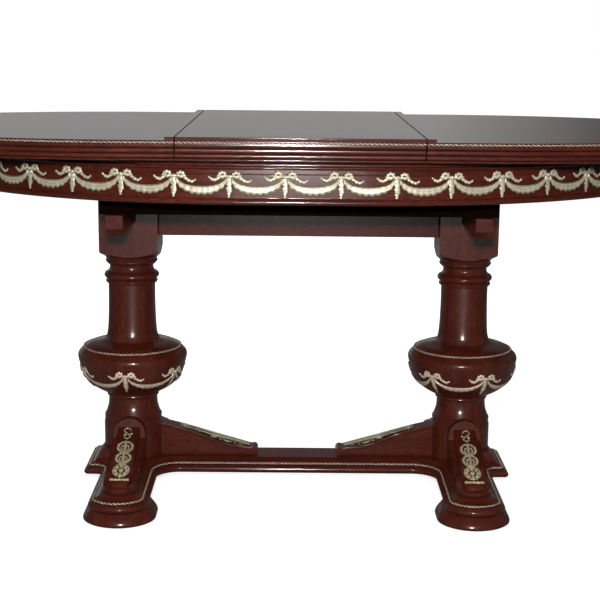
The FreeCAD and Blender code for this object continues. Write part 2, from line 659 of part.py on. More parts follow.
# Knee ornaments: rosettes in a row down the bar's slope, over a cross bar
(low_d, low_z), (high_d, high_z) = knee_bar_shares[3], knee_bar_shares[4]
slope_start = V(pedestal_x, high_d * knee_reach, platform_top + high_z * knee_height)
slope_end = V(pedestal_x, low_d * knee_reach, platform_top + low_z * knee_height)
down = (slope_end - slope_start).normalize()
face_out = ALONG.cross(down)
slope_length = slope_start.distanceToPoint(slope_end)
seat = slope_start + face_out * seat_gap
half_bar = knee_bar_width / 2 - ornament_side
plates = []
for place, r in ornament_rosette_shares:
    middle = seat + down * (place * slope_length)
    plates.append(Part.makeCylinder(r * knee_bar_width, ornament_thickness, middle, face_out))
bar_place = slope_length - ornament_bar_thickness
spine_place = ornament_rosette_shares[0][0] * slope_length
for place, half in ((bar_place, half_bar), (spine_place, ornament_spine_width / 2)):
    strip = [seat + down * place - ALONG * half, seat + down * slope_length - ALONG * half]
    strip += [corner + ALONG * 2 * half for corner in reversed(strip)]
    plates.append(polygon(strip).extrude(face_out * ornament_thickness))
ornament = plates[0].multiFuse(plates[1:]).removeSplitter()
ornament_pair = Part.makeCompound([ornament, mirrored(ornament, ACROSS)])
save("knee_ornaments", ornament_pair, mirrored(ornament_pair, ALONG))


def wing_band(depth_from, depth_to, width, start, end):
    """A band that follows the wing's curve, between two depths under it and two places along it."""
    points = [(pedestal_x - e * wing_reach, platform_top + z * wing_height) for e, z in wing_curve_shares]
    upper = curve([V(x, -width / 2, z - depth_from) for x, z in points])
    lower = curve([V(x, -width / 2, z - depth_to) for x, z in points])
    limits = (upper.FirstParameter, upper.LastParameter)
    ends = [line(upper.valueAt(at), lower.valueAt(at)) for at in limits]
    band = Part.Face(Part.Wire(Part.__sortEdges__([upper, lower, *ends]))).extrude(V(0, width, 0))
    places = (pedestal_x - end * wing_reach, pedestal_x - start * wing_reach)
    return band.common(block(places, (-width, width), (platform_top, bulb_top)))


# Wing brackets: a web under a wider moulded cap that ends in a scroll, with a brass strip on top
curve_start_share, curve_end_share = wing_curve_shares[0][0], wing_curve_shares[-1][0]
cap = wing_band(0, wing_cap_depth, wing_cap_width, curve_start_share, curve_end_share)
web = wing_band(0, wing_height, wing_web, curve_start_share, curve_end_share)
scroll_x = pedestal_x - curve_end_share * wing_reach
scroll_foot = V(scroll_x, -wing_cap_width / 2, platform_top + wing_scroll_radius)
scroll = Part.makeCylinder(wing_scroll_radius, wing_cap_width, scroll_foot, ACROSS)
both_sides("wing_bracket", cap.multiFuse([web, scroll]).cut(drum_room).removeSplitter())
brass_strip = wing_band(-seat_gap - wing_strip_thickness, -seat_gap, wing_strip_width,
                        wing_strip_start_share, wing_strip_end_share)
save("wing_strips", brass_strip, mirrored(brass_strip, ALONG))


def swag(pitch, height, bottom, place, tangent):
    """A swag's outline, upright at a place, hung between two bows a pitch apart."""
    def at(x, z):
        return place + tangent * (x * pitch) + UP * (bottom + z * height)
    reach = swag_reach_share
    (top_end, top_middle), (low_end, low_middle) = swag_top_shares, swag_bottom_shares
    over = Part.Arc(at(-reach, top_end), at(0, top_middle), at(reach, top_end)).toShape()
    under = Part.Arc(at(reach, low_end), at(0, low_middle), at(-reach, low_end)).toShape()
    sides = [line(at(reach, top_end), at(reach, low_end)), line(at(-reach, low_end), at(-reach, top_end))]
    return Part.Face(Part.Wire([over, sides[0], under, sides[1]]))


def bow(pitch, height, bottom, place, tangent):
    """A ribbon bow's outline with its hanging drop."""
    right = [place + tangent * (x * pitch) + UP * (bottom + z * height) for x, z in bow_shares]
    left = [place - tangent * (x * pitch) + UP * (bottom + z * height) for x, z in bow_shares[1:-1]]
    return polygon([*right, *reversed(left)])


def stamped(face, outward, depth, shell):
    """A brass stamping: an upright outline carried through a thin shell over the wood."""
    return face.translated(outward * -depth).extrude(outward * (2 * depth)).common(shell)


# Frieze: bows and swags all round the apron's panel
bead_rise = (apron_panel_share - apron_bead_share) * apron_moulding
inner_inset = apron_panel_share * apron_moulding - bead_rise - seat_gap
outer_face = Part.Face(apron_wire(inner_inset - garland_thickness))
inner_face = Part.Face(apron_wire(inner_inset))
frieze_shell = outer_face.cut(inner_face).extrude(V(0, 0, apron_height)).translated(V(0, 0, apron_bottom))
panel_path = Part.Wire(apron_edges(inner_inset, first_bow_x))
places = panel_path.discretize(Number=2 * frieze_garland_count + 1)
frieze_pitch = panel_path.Length / frieze_garland_count
frieze_top = apron_bottom + apron_panel_top_share * apron_height - frieze_garland_drop
frieze_foot = frieze_top - frieze_garland_height
frieze_garlands = []
for n in range(2 * frieze_garland_count):
    tangent = (places[n + 1] - places[n - 1 if n else -2]).normalize()
    outward = tangent.cross(UP)
    shape = swag if n % 2 else bow
    face = shape(frieze_pitch, frieze_garland_height, frieze_foot, places[n], tangent)
    frieze_garlands.append(stamped(face, outward, apron_wall, frieze_shell))
save("frieze_garlands", *frieze_garlands)

# Bulb garlands, on the round under the rim
shell_runs = [[V(r + gap, 0, z) for r, z in bulb_run] for gap in (seat_gap, seat_gap + garland_thickness)]
shell_edges = [curve(shell_runs[0]), line(shell_runs[0][-1], shell_runs[1][-1]),
               curve(shell_runs[1]), line(shell_runs[1][0], shell_runs[0][0])]
bulb_shell = revolved(Part.__sortEdges__(shell_edges))
garland_step = math.pi / bulb_garland_count
bulb_pitch = 2 * bulb_radius * math.sin(garland_step)
bulb_foot = drum_top + bulb_garland_foot_share * bulb_height
for side, x, turn in (("left", -pedestal_x, left_bow_angle), ("right", pedestal_x, right_bow_angle)):
    pieces = []
    for n in range(2 * bulb_garland_count):
        angle = math.radians(turn) + n * garland_step
        outward = V(math.cos(angle), math.sin(angle), 0)
        shape = swag if n % 2 else bow
        face = shape(bulb_pitch, bulb_garland_height, bulb_foot, outward * bulb_radius, UP.cross(outward))
        pieces.append(stamped(face, outward, bulb_radius / 2, bulb_shell).translated(V(x, 0, 0)))
    save(f"{side}_bulb_garlands", *pieces)
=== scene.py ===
import math

import bmesh
import bpy
from mathutils import Matrix, Vector


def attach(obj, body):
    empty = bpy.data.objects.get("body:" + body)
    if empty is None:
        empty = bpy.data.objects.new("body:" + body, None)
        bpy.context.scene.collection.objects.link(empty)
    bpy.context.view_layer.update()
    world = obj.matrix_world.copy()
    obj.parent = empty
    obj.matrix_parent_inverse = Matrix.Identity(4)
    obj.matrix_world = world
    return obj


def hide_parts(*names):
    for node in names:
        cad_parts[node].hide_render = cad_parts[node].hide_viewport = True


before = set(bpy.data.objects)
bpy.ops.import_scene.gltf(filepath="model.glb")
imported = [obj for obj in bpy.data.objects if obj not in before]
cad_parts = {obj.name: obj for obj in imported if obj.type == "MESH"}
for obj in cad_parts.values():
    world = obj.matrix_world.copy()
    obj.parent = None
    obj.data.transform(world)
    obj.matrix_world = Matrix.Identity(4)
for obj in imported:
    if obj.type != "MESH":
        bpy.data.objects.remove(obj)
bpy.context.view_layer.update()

# Double pedestal dining table, open with its centre leaf in. Sizes are in millimetres, as in the solids;
# MM turns them into metres. X runs along the table, -Y is the front.

scene = bpy.context.scene
MM = 0.001
TURN = 2 * math.pi

# Making
FLAT_MARGIN = 0.4  # from a moulding's corner to the point that keeps a straight line flat
WELD = 0.02  # points nearer than this become one
CREASE, RELIEF_CREASE = 32, 50  # degrees from which corners stay sharp, of wood and of cast brass
ARRIS = 35  # degrees from which an arris is eased
RELIEF_BACK = 0.4  # of a brass relief, behind the line it is drawn on

# Tops
TOPS_UNDER = 731.5
HALF_TOP = 769.0
LEAF_TOP = 775.0
SIDE = 440.0  # half the depth
STRAIGHT = 120.0  # of a half's long edges, measured from the leaf
CURVE_LENGTH = 600.0
END_RADIUS = 350.0
FLANK_RADIUS = ((CURVE_LENGTH - END_RADIUS) ** 2 + SIDE**2 - END_RADIUS**2) / (2 * (SIDE - END_RADIUS))
HALF_START = 225.0  # half the leaf's width, from which a half's outline is drawn
LEAF_EDGE = 224.0
LIPPING = (226.8, 242.8)  # from the joint line to the half top
LEAF_REACH, LIPPING_REACH = 1.3, 1.4  # of their insides into the open joint line
JOINT_DEPTH = 34.0  # of that line from the front and the back
JOINT_FLOOR = 4.5  # height that closes the line's ends from below
CORE_SHARE = 0.8  # of the edge's height that the insides fill, above that floor and below it
CORE_INSET, CORE_DROP = 3.0, 0.4  # of an inside's part below the floor
CORE_LEAN = 10.0  # divides the moulding's depth in an inside's nearly upright face
EDGE_ROPE = (2.0, 765.0, 4.0)  # inset, height, thickness

# Apron
OVERHANG = 40.0  # of the tops past the apron, at the front and the back
APRON_WALL = 25.0
APRON_BOTTOM = 649.0
APRON_TOP = 731.2

# Pedestals
PEDESTAL_X = 354.0
BLOCK = 61.0  # half the head block's width
BLOCK_BOTTOM = 492.0
COLUMN_RADIUS = 50.0
BULB_TOP = 313.0
BULB_RADIUS = 116.0
BULB_HEIGHT = 116.0
LEDGE_DEPTH, LEDGE_HEIGHT = 4.9, 4.6  # on the bulb's rim, for its rope
BULB_ROPE, BULB_ROPE_SEAT = 4.6, 2.6  # thickness, and distance of its middle from the ledge's corner
DRUM_TOP = 197.0
DRUM_RADIUS = 62.0
PLATFORM_TOP = 60.0
SHOE_TOP = 31.0
SHOE_REACH = 245.0
SHOE_STRAIGHT = 18.0
SHOE_ROUND = (73.0, 66.0, 58.0)  # half width, rise, corner radius of a shoe's round ends

# Platform
STRETCHER = 60.0  # half width, as the next
FOOT = 59.0
FOOT_REACH = 289.0  # to where the foot's round end begins
FOOT_ROUND = (59.0, 45.0, 30.0)  # half width, rise, corner radius of that end
INNER_CORNER = 48.0
OUTER_CORNER = 16.0
STUB_LENGTH = 97.0
STUB = 79.0  # half width
JOINT_X = PEDESTAL_X - FOOT - INNER_CORNER  # where platform and stretcher board meet
CAP_START, CAP_END, CAP_TOP, CAP_HALF = 36.0, 73.0, 80.0, 54.0  # sloped cap on the stub, beside the drum
BASE_ROPE = (9.95, 50.1, 4.5)  # inset, height, thickness
ROPE_BEND = 6.0  # its radius at the stub's corners

# Knees and wings
KNEE_REACH = 290.0
KNEE_HEIGHT = 95.0
CASE_HALF, BAR_HALF = 33.0, 23.0  # half widths
WING_REACH = 270.0
WING_HEIGHT = 71.0
WEB_HALF = 14.0
VOLUTE = 8.5  # radius of the scroll at a wing's low end

# Garlands and strips
FRIEZE_COUNT = 34
FRIEZE_START = -27.0  # of the first bow, along the front
FRIEZE_FOOT = 661.1
FRIEZE_INSET = 5.6
FRIEZE_SWAG, BULB_SWAG = 7.8, 5.6  # half widths of the swags
BULB_COUNT = 6
BULB_FOOT = 213.8
BULB_LIFT, STRIP_LIFT = 0.5, 0.6  # of the brass over bulb and cap
STRIP_COUNT, STRIP_PITCH, STRIP_START = 5, 32.5, 10.0
STRIP_SPAN = (0.36, 0.945)  # of the wing's reach
ROPE_LAY = 17.4  # length of one full turn
ROPE_STEP = 1.4


# Shapes: a shape is its points and its faces

def smooth(points, steps):
    """Points on a flowing curve through the given ones; further values of a point flow along with it."""
    out = []
    for i in range(len(points) - 1):
        a, b = points[max(i - 1, 0)], points[i]
        c, d = points[i + 1], points[min(i + 2, len(points) - 1)]
        for n in range(steps):
            t = n / steps
            weights = (-t + 2 * t**2 - t**3, 2 - 5 * t**2 + 3 * t**3, t + 4 * t**2 - 3 * t**3, t**3 - t**2)
            out.append(tuple(sum(w * p[k] for w, p in zip(weights, (a, b, c, d))) / 2 for k in range(len(b))))
    return [*out, points[-1]]


def looped(points, steps):
    """The same for a closed ring of points."""
    ring = smooth([points[-1], *points, points[0], points[1]], steps)
    return ring[steps:-steps - 1]


def arc(x, y, radius, start, end, steps):
    turns = [start + (end - start) * n / steps for n in range(steps + 1)]
    return [(x + radius * math.cos(a), y + radius * math.sin(a)) for a in turns]


def circle(radius, steps, start=0.0):
    return arc(0, 0, radius, start, start + TURN, steps)[:-1]


def moulded(keys, steps=7):
    """A moulding's section: corners (across, up), each with the bulge of the line that follows it. A straight
    line has points near its ends too, so that it is shaded flat."""
    out = []
    for (x, z, bulge), (x_end, z_end, _) in zip(keys, keys[1:]):
        end = FLAT_MARGIN / max(math.hypot(x_end - x, z_end - z), 4 * FLAT_MARGIN)
        for t in [n / steps for n in range(steps)] if bulge else (0, end, 1 - end):
            swell = 4 * bulge * t * (1 - t)
            out.append((x + (x_end - x) * t + (z_end - z) * swell, z + (z_end - z) * t - (x_end - x) * swell))
    return [*out, keys[-1][:2]]


def skin(rows, tube=False):
    """Faces between rows of points. Each row closes on itself; the first and last are capped, or joined in a
    tube."""
    width = len(rows[0])
    points = [p for row in rows for p in row]
    faces = []
    for r in range(len(rows) if tube else len(rows) - 1):
        near, far = r * width, (r + 1) % len(rows) * width
        for k in range(width):
            k_next = (k + 1) % width
            faces.append((near + k, near + k_next, far + k_next, far + k))
    if not tube:
        faces += [tuple(range(width))[::-1], tuple(range(len(points) - width, len(points)))]
    return points, faces


def joined(*shapes):
    points, faces = [], []
    for p, f in shapes:
        faces += [tuple(k + len(points) for k in face) for face in f]
        points += p
    return points, faces


def placed(shape, matrix):
    return [(*(matrix @ Vector(p[:3])), *p[3:]) for p in shape[0]], shape[1]


def moved(shape, x, y, z=0):
    return placed(shape, Matrix.Translation((x, y, z)))


def flipped(shape, axis):
    """The mirror image across the middle of the table: axis 0 swaps left and right, 1 front and back."""
    along, across = (1, -1) if axis else (-1, 1)
    return [(along * x, across * y, *rest) for x, y, *rest in shape[0]], [f[::-1] for f in shape[1]]


def turned(profile, steps=112):
    """A turning about the Z axis, from (radius, height) points."""
    rows = [[(r * math.cos(TURN * k / steps), r * math.sin(TURN * k / steps), z) for k in range(steps)]
            for r, z in profile]
    return skin(rows)


def runs(keys, radius, bottom, height, steps=6):
    """A turner's profile: runs of shares that flow within a run and break between runs."""
    return [(r * radius, bottom + z * height) for run in keys
            for r, z in (run if len(run) == 2 else smooth(run, steps))]


def prism(outline, axis, low, high):
    """An outline in the plane square to an axis, drawn out along that axis."""
    def at(p, level):
        return [(level, *p), (p[0], level, p[1]), (*p, level)][axis]
    return skin([[at(p, low) for p in outline], [at(p, high) for p in outline]])


def stacked(outline, section):
    """A moulded plate: one outline at each (inset, height) of the section."""
    return skin([[(x, y, z) for x, y in outline(inset)] for inset, z in section])


def swept(outline, section):
    """A moulded length: the closed section carried along an outline."""
    lines = [[(x, y, z) for x, y in outline(inset)] for inset, z in section]
    return skin([list(row) for row in zip(*lines)])


def mesh_of(name, shape, crease=CREASE):
    """A welded mesh in metres, smooth but for its corners, with the relief of cast brass kept on its points."""
    points, faces = shape
    mesh = bpy.data.meshes.new(name)
    mesh.from_pydata([Vector(p[:3]) * MM for p in points], [], faces)
    # the relief later darkens the brass in its hollows, partly as patina and partly as painted shade
    if len(points[0]) == 4:
        mesh.attributes.new("relief", "FLOAT", "POINT").data.foreach_set("value", [p[3] for p in points])
    weld = bmesh.new()
    weld.from_mesh(mesh)
    bmesh.ops.remove_doubles(weld, verts=weld.verts, dist=WELD * MM)
    bmesh.ops.recalc_face_normals(weld, faces=weld.faces)
    weld.to_mesh(mesh)
    weld.free()
    mesh.shade_smooth()
    mesh.set_sharp_from_angle(angle=math.radians(crease))
    return mesh


def stand_in(name, data):
    """An object to work with, linked so that it is evaluated."""
    thing = bpy.data.objects.new(name, data)
    scene.collection.objects.link(thing)
    return thing


def worked(thing):
    """The plain mesh of an object with its modifiers, after which the object goes."""
    bpy.context.view_layer.update()
    mesh = bpy.data.meshes.new_from_object(thing.evaluated_get(bpy.context.evaluated_depsgraph_get()))
    bpy.data.objects.remove(thing)
    return mesh


def common(first, *others):
    """What shapes have in common, with clean arrises."""
    thing = stand_in("blank", mesh_of("blank", first))
    tools = [stand_in("cutter", mesh_of("cutter", other)) for other in others]
    for tool in tools:
        cut = thing.modifiers.new("cut", "BOOLEAN")
        cut.operation, cut.solver, cut.object = "INTERSECT", "EXACT", tool
    mesh = worked(thing)
    for tool in tools:
        bpy.data.objects.remove(tool)
    points = [tuple(v.co / MM) for v in mesh.vertices]
    return points, [tuple(face.vertices) for face in mesh.polygons]


def eased(mesh, width):
    """A mesh with its arrises rounded over."""
    thing = stand_in("eased", mesh)
    bevel = thing.modifiers.new("ease", "BEVEL")
    bevel.width, bevel.segments, bevel.limit_method = width * MM, 2, "ANGLE"
    bevel.angle_limit = math.radians(ARRIS)
    bevel.use_clamp_overlap = bevel.harden_normals = True
    return worked(thing)


def piece(name, mesh, finish, body, nodes):
    """A finished piece, carried by a body in place of its solids."""
    thing = stand_in(name, mesh)
    mesh.name = name
    mesh.materials.clear()
    mesh.materials.append(finish)
    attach(thing, body)
    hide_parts(*nodes)


def pair(name, shape, finish, ease=0, slides=False):
    """A wooden piece on the right, and its mirror image on the left. One that slides goes with its half."""
    for side, form in (("right", shape), ("left", flipped(shape, 0))):
        mesh = mesh_of(name, form)
        body = f"{side}_half" if slides else "base"
        piece(f"{side}_{name}", eased(mesh, ease) if ease else mesh, finish, body, [f"{side}_{name}"])


# Nodes and materials

def add(tree, kind, inputs=None, **settings):
    """A node of a tree with its settings, and a value or a link for each input."""
    node = tree.nodes.new(kind)
    for key, value in settings.items():
        setattr(node, key, value)
    for key, value in (inputs or {}).items():
        if isinstance(value, bpy.types.NodeSocket):
            tree.links.new(value, node.inputs[key])
        else:
            node.inputs[key].default_value = value
    return node


def calc(tree, operation, *values):
    """The result of one step of arithmetic."""
    return add(tree, "ShaderNodeMath", dict(enumerate(values)), operation=operation).outputs[0]


def ranged(tree, value, low=0.0, high=1.0, to=(0.0, 1.0)):
    """A value carried from one range into another."""
    inputs = {"Value": value, "From Min": low, "From Max": high, "To Min": to[0], "To Max": to[1]}
    return add(tree, "ShaderNodeMapRange", inputs).outputs[0]


def noise(tree, place, scale, detail, **more):
    """Uneven values across a place."""
    return add(tree, "ShaderNodeTexNoise", {"Vector": place, "Scale": scale, "Detail": detail, **more}).outputs[0]


def blend(tree, share, first, second):
    """One colour turning into another by a share."""
    return add(tree, "ShaderNodeMix", {0: share, 6: first, 7: second}, data_type="RGBA").outputs[2]


def connect(tree, shader, **sockets):
    """Links to the inputs of a shader."""
    for key, socket in sockets.items():
        tree.links.new(socket, shader.inputs[key.replace("_", " ")])


def colour(code):
    """A colour written as sRGB hex, made linear."""
    parts = [int(code[k:k + 2], 16) / 255 for k in (1, 3, 5)]
    return (*[c / 12.92 if c <= 0.04045 else ((c + 0.055) / 1.055) ** 2.4 for c in parts], 1)


def material(name, **constants):
    """A material and its shader, with the shader's constants set."""
    made = bpy.data.materials.new(name)
    made.use_nodes = True
    shader = made.node_tree.nodes["Principled BSDF"]
    for key, value in constants.items():
        shader.inputs[key.replace("_", " ")].default_value = value
    return made, made.node_tree, shader


def mahogany(name, grain, gloss=0.85, blur=0.11, shades=("#431810", "#521f16", "#6b3021")):
    """Dark red mahogany under clear polish. The eye gets ribbon figure drawn out along the grain, darker pores
    in short streaks, and a soft gleam that breaks where the polish lies thinner. grain: figure size in mm;
    blur: roughness of the polish; shades: pores, plain wood, figure."""
    made, tree, shader = material(name, Coat_Weight=gloss, Coat_Roughness=blur, Coat_IOR=1.5,
                                  Specular_IOR_Level=0.09 * gloss)
    place = add(tree, "ShaderNodeTexCoord").outputs["Object"]
    scale = [1 / (size * MM) for size in grain]
    drawn = add(tree, "ShaderNodeMapping", {"Vector": place, "Scale": scale}).outputs["Vector"]
    figure = noise(tree, drawn, 1.0, 5.0, Distortion=0.7)
    pores = noise(tree, drawn, 17.0, 3.0, Roughness=0.7)
    ribbon = blend(tree, ranged(tree, figure, 0.36, 0.66), colour(shades[1]), colour(shades[2]))
    wood = blend(tree, ranged(tree, pores, 0.42, 0.6), colour(shades[0]), ribbon)
    satin = ranged(tree, pores, to=(0.46, 0.3))
    dents = add(tree, "ShaderNodeBump", {"Height": pores, "Strength": 0.06, "Distance": 0.2 * MM}).outputs[0]
    connect(tree, shader, Base_Color=wood, Roughness=satin, Normal=dents)
    return made


def brass(name, bright, worn, hollows_patina_and_shade, metal):
    """Gilt brass with age. The eye gets bright high points and brown in the hollows of the relief, partly patina
    and rubbed gilt and partly painted shade, and a cast skin that is uneven by the millimetre."""
    made, tree, shader = material(name, Metallic=metal)
    place = add(tree, "ShaderNodeTexCoord").outputs["Object"]
    patch = noise(tree, place, 1 / (9 * MM), 4.0)
    cast = noise(tree, place, 1 / (1.5 * MM), 3.0)
    relief = add(tree, "ShaderNodeAttribute", attribute_name="relief").outputs["Fac"]
    gilt = blend(tree, ranged(tree, patch, 0.35, 0.65), colour(worn), colour(bright))
    # the hollows of the relief turn brown: partly patina, partly painted shade
    gilt_with_patina_and_shade = blend(tree, ranged(tree, relief, 0.3, 0.7), colour(hollows_patina_and_shade), gilt)
    rough = ranged(tree, cast, to=(0.28, 0.5))
    pits = add(tree, "ShaderNodeBump", {"Height": cast, "Strength": 0.35, "Distance": 0.5 * MM}).outputs[0]
    connect(tree, shader, Base_Color=gilt_with_patina_and_shade, Roughness=rough, Normal=pits)
    return made


def brushed_steel(name):
    """Plain steel hardware. The eye gets fine brushing and faint grey blotches."""
    made, tree, shader = material(name, Metallic=1.0)
    place = add(tree, "ShaderNodeTexCoord").outputs["Object"]
    drawn = add(tree, "ShaderNodeMapping", {"Vector": place, "Scale": (900.0, 900.0, 40.0)}).outputs["Vector"]
    brush = noise(tree, drawn, 1.0, 3.0)
    tone = blend(tree, brush, colour("#6f7174"), colour("#a3a5a8"))
    connect(tree, shader, Base_Color=tone, Roughness=ranged(tree, brush, to=(0.25, 0.5)))
    return made


top_wood = mahogany("polished_mahogany_top", (420, 26, 26))
long_wood = mahogany("polished_mahogany_long_grain", (300, 20, 20))
bent_wood = mahogany("polished_mahogany_bent_grain", (260, 260, 18))
tall_wood = mahogany("polished_mahogany_turned", (22, 22, 240), blur=0.17)
cross_wood = mahogany("polished_mahogany_cross_grain", (20, 260, 20))
frame_wood = mahogany("oiled_mahogany_frame", (240, 22, 22), gloss=0.25)
# the bearers' near-black colour and dull finish are painted shade: they stand for the apron's shadow over them
bearer_black_painted_shade = mahogany("mahogany_bearer_black_painted_shade", (240, 22, 22), gloss=0.0, blur=0.5,
                       shades=("#0c0504", "#100705", "#190b08"))
# each brass's third colour fills the hollows of its relief: partly patina, partly painted shade
frieze_gilt = brass("pale_gilt_brass", "#ece6cc", "#d6caa8", "#4c3a22", 0.35)
antique_gilt = brass("antique_gilt_brass", "#ecdcba", "#cfba94", "#5a432a", 0.4)
warm_gilt = brass("warm_gilt_brass", "#fbe9d2", "#ecd6ba", "#5a432a", 0.25)
rope_gilt = brass("gilt_brass_rope", "#f6e4d2", "#dcc0a8", "#2c150f", 0.3)
hardware = brushed_steel("brushed_steel_hardware")


# Node trees that lay out what repeats

def new_tree(name, sockets):
    """A geometry tree with named inputs; returns the tree, its group input and the inputs' identifiers."""
    tree = bpy.data.node_groups.new(name, "GeometryNodeTree")
    ids = {}
    for label, kind in sockets:
        socket = tree.interface.new_socket(label, in_out="INPUT", socket_type=f"NodeSocket{kind}")
        ids[label] = socket.identifier
    tree.interface.new_socket("Geometry", in_out="OUTPUT", socket_type="NodeSocketGeometry")
    return tree, add(tree, "NodeGroupInput").outputs, ids


def close_tree(tree, geometry, finish):
    """The end of a tree: real geometry in its material."""
    solid = add(tree, "GeometryNodeRealizeInstances", {"Geometry": geometry})
    painted = add(tree, "GeometryNodeSetMaterial", {"Geometry": solid.outputs[0], "Material": finish})
    add(tree, "NodeGroupOutput", {0: painted.outputs[0]})


def rope_tree():
    """Twisted rope: two strands wound along each path, a whole number of strands to a ring."""
    tree, given, ids = new_tree("twisted_rope", [
        ("Paths", "Geometry"), ("Thickness", "Float"), ("Lay", "Float"), ("Step", "Float"),
        ("Finish", "Material")])
    strands, sides, hollow = 2, 12, 0.46  # hollow: share of the radius left between the strands
    level = add(tree, "GeometryNodeSetCurveNormal", {"Curve": given["Paths"]}, mode="Z_UP")
    even = add(tree, "GeometryNodeResampleCurve", {
        "Curve": level.outputs[0], "Length": given["Step"]}, mode="LENGTH")
    along = add(tree, "GeometryNodeSplineParameter").outputs["Factor"]
    length = add(tree, "GeometryNodeSplineLength").outputs["Length"]
    passes = calc(tree, "MULTIPLY", calc(tree, "DIVIDE", length, given["Lay"]), float(strands))
    turns = calc(tree, "MULTIPLY", calc(tree, "ROUND", passes), TURN / strands)
    tilt = calc(tree, "MULTIPLY", turns, along)
    twisted = add(tree, "GeometryNodeSetCurveTilt", {"Curve": even.outputs[0], "Tilt": tilt})
    half = calc(tree, "MULTIPLY", given["Thickness"], 0.5)
    ring = add(tree, "GeometryNodeCurvePrimitiveCircle", {"Resolution": sides, "Radius": half})
    index = add(tree, "GeometryNodeInputIndex").outputs[0]
    wave = calc(tree, "COSINE", calc(tree, "MULTIPLY", index, strands * TURN / sides))
    crown = ranged(tree, wave, low=-1.0)
    swell = ranged(tree, crown, to=(hollow, 1.0))
    spot = add(tree, "GeometryNodeInputPosition").outputs[0]
    lobe = add(tree, "ShaderNodeVectorMath", {0: spot, "Scale": swell}, operation="SCALE")
    lobed = add(tree, "GeometryNodeSetPosition", {"Geometry": ring.outputs[0], "Position": lobe.outputs[0]})
    # the strands' crowns are kept as relief, so the grooves between them are darkened: partly patina, partly
    # painted shade
    high = add(tree, "GeometryNodeStoreNamedAttribute", {
        "Geometry": lobed.outputs[0], "Name": "relief", "Value": crown}, data_type="FLOAT")
    cord = add(tree, "GeometryNodeCurveToMesh", {
        "Curve": twisted.outputs[0], "Profile Curve": high.outputs[0], "Fill Caps": True})
    close_tree(tree, cord.outputs[0], given["Finish"])
    return tree, ids


def trail_tree():
    """Follow a path: a motif repeated at a pitch along the path, standing on it, bent to its curve."""
    tree, given, ids = new_tree("motif_trail", [
        ("Base", "Geometry"), ("Motif", "Object"), ("Path", "Object"), ("Count", "Int"), ("Pitch", "Float"),
        ("Side", "Vector"), ("Finish", "Material")])
    motif = add(tree, "GeometryNodeObjectInfo", {"Object": given["Motif"]}).outputs["Geometry"]
    path = add(tree, "GeometryNodeObjectInfo", {"Object": given["Path"]}).outputs["Geometry"]
    step = add(tree, "ShaderNodeCombineXYZ", {"X": given["Pitch"]})
    row = add(tree, "GeometryNodeMeshLine", {"Count": given["Count"], "Offset": step.outputs[0]})
    copies = add(tree, "GeometryNodeInstanceOnPoints", {"Points": row.outputs[0], "Instance": motif})
    flat = add(tree, "GeometryNodeRealizeInstances", {"Geometry": copies.outputs[0]})
    drawn = add(tree, "ShaderNodeSeparateXYZ", {0: add(tree, "GeometryNodeInputPosition").outputs[0]}).outputs
    length = add(tree, "GeometryNodeCurveLength", {"Curve": path}).outputs[0]
    around = calc(tree, "WRAP", drawn["X"], length, 0.0)
    foot = add(tree, "GeometryNodeSampleCurve", {"Curves": path, "Length": around}, mode="LENGTH").outputs
    normal = add(tree, "ShaderNodeVectorMath", {0: foot["Tangent"], 1: given["Side"]}, operation="CROSS_PRODUCT")
    unit = add(tree, "ShaderNodeVectorMath", {0: normal.outputs[0]}, operation="NORMALIZE")
    out = add(tree, "ShaderNodeVectorMath", {0: unit.outputs[0], "Scale": drawn["Y"]}, operation="SCALE")
    up = add(tree, "ShaderNodeVectorMath", {0: given["Side"], "Scale": drawn["Z"]}, operation="SCALE")
    raised = add(tree, "ShaderNodeVectorMath", {0: foot["Position"], 1: out.outputs[0]}, operation="ADD")
    spot = add(tree, "ShaderNodeVectorMath", {0: raised.outputs[0], 1: up.outputs[0]}, operation="ADD")
    bent = add(tree, "GeometryNodeSetPosition", {"Geometry": flat.outputs[0], "Position": spot.outputs[0]})
    close_tree(tree, bent.outputs[0], given["Finish"])
    return tree, ids


ROPE = rope_tree()
TRAIL = trail_tree()


def path_curve(name, paths):
    """A curve of one or more level or bent paths, each a list of points and whether it closes."""
    data = bpy.data.curves.new(name, "CURVE")
    data.dimensions = "3D"
    for points, closed in paths:
        line = data.splines.new("POLY")
        line.points.add(len(points) - 1)
        line.points.foreach_set("co", [c for p in points for c in (*[v * MM for v in p], 1)])
        line.use_cyclic_u = closed
    return data


def laid_out(base, tree, values):
    """The plain mesh that a tree makes from its inputs."""
    group, ids = tree
    layer = base.modifiers.new("layout", "NODES")
    layer.node_group = group
    for label, value in values.items():
        layer[ids[label]] = value
    return worked(base)


def rope(name, paths, thickness, body):
    """A gilt rope along paths, as a piece."""
    base = stand_in(name, path_curve(name, paths))
    mesh = laid_out(base, ROPE, {
        "Thickness": thickness * MM, "Lay": ROPE_LAY * MM, "Step": ROPE_STEP * MM, "Finish": rope_gilt})
    mesh.shade_smooth()
    piece(name, mesh, rope_gilt, body, [name])


def trail(name, motif, path, closed, count, pitch, side, finish):
    """The mesh of a motif's copies along a path. side: the way their height points."""
    model = stand_in("motif", mesh_of("motif", motif, RELIEF_CREASE))
    line = stand_in("path", path_curve("path", [(path, closed)]))
    base = stand_in(name, bpy.data.meshes.new(name))
    mesh = laid_out(base, TRAIL, {"Motif": model, "Path": line, "Count": count, "Pitch": pitch * MM,
                                  "Side": side, "Finish": finish})
    for helper in (model, line):
        bpy.data.objects.remove(helper)
    return mesh


# Tops

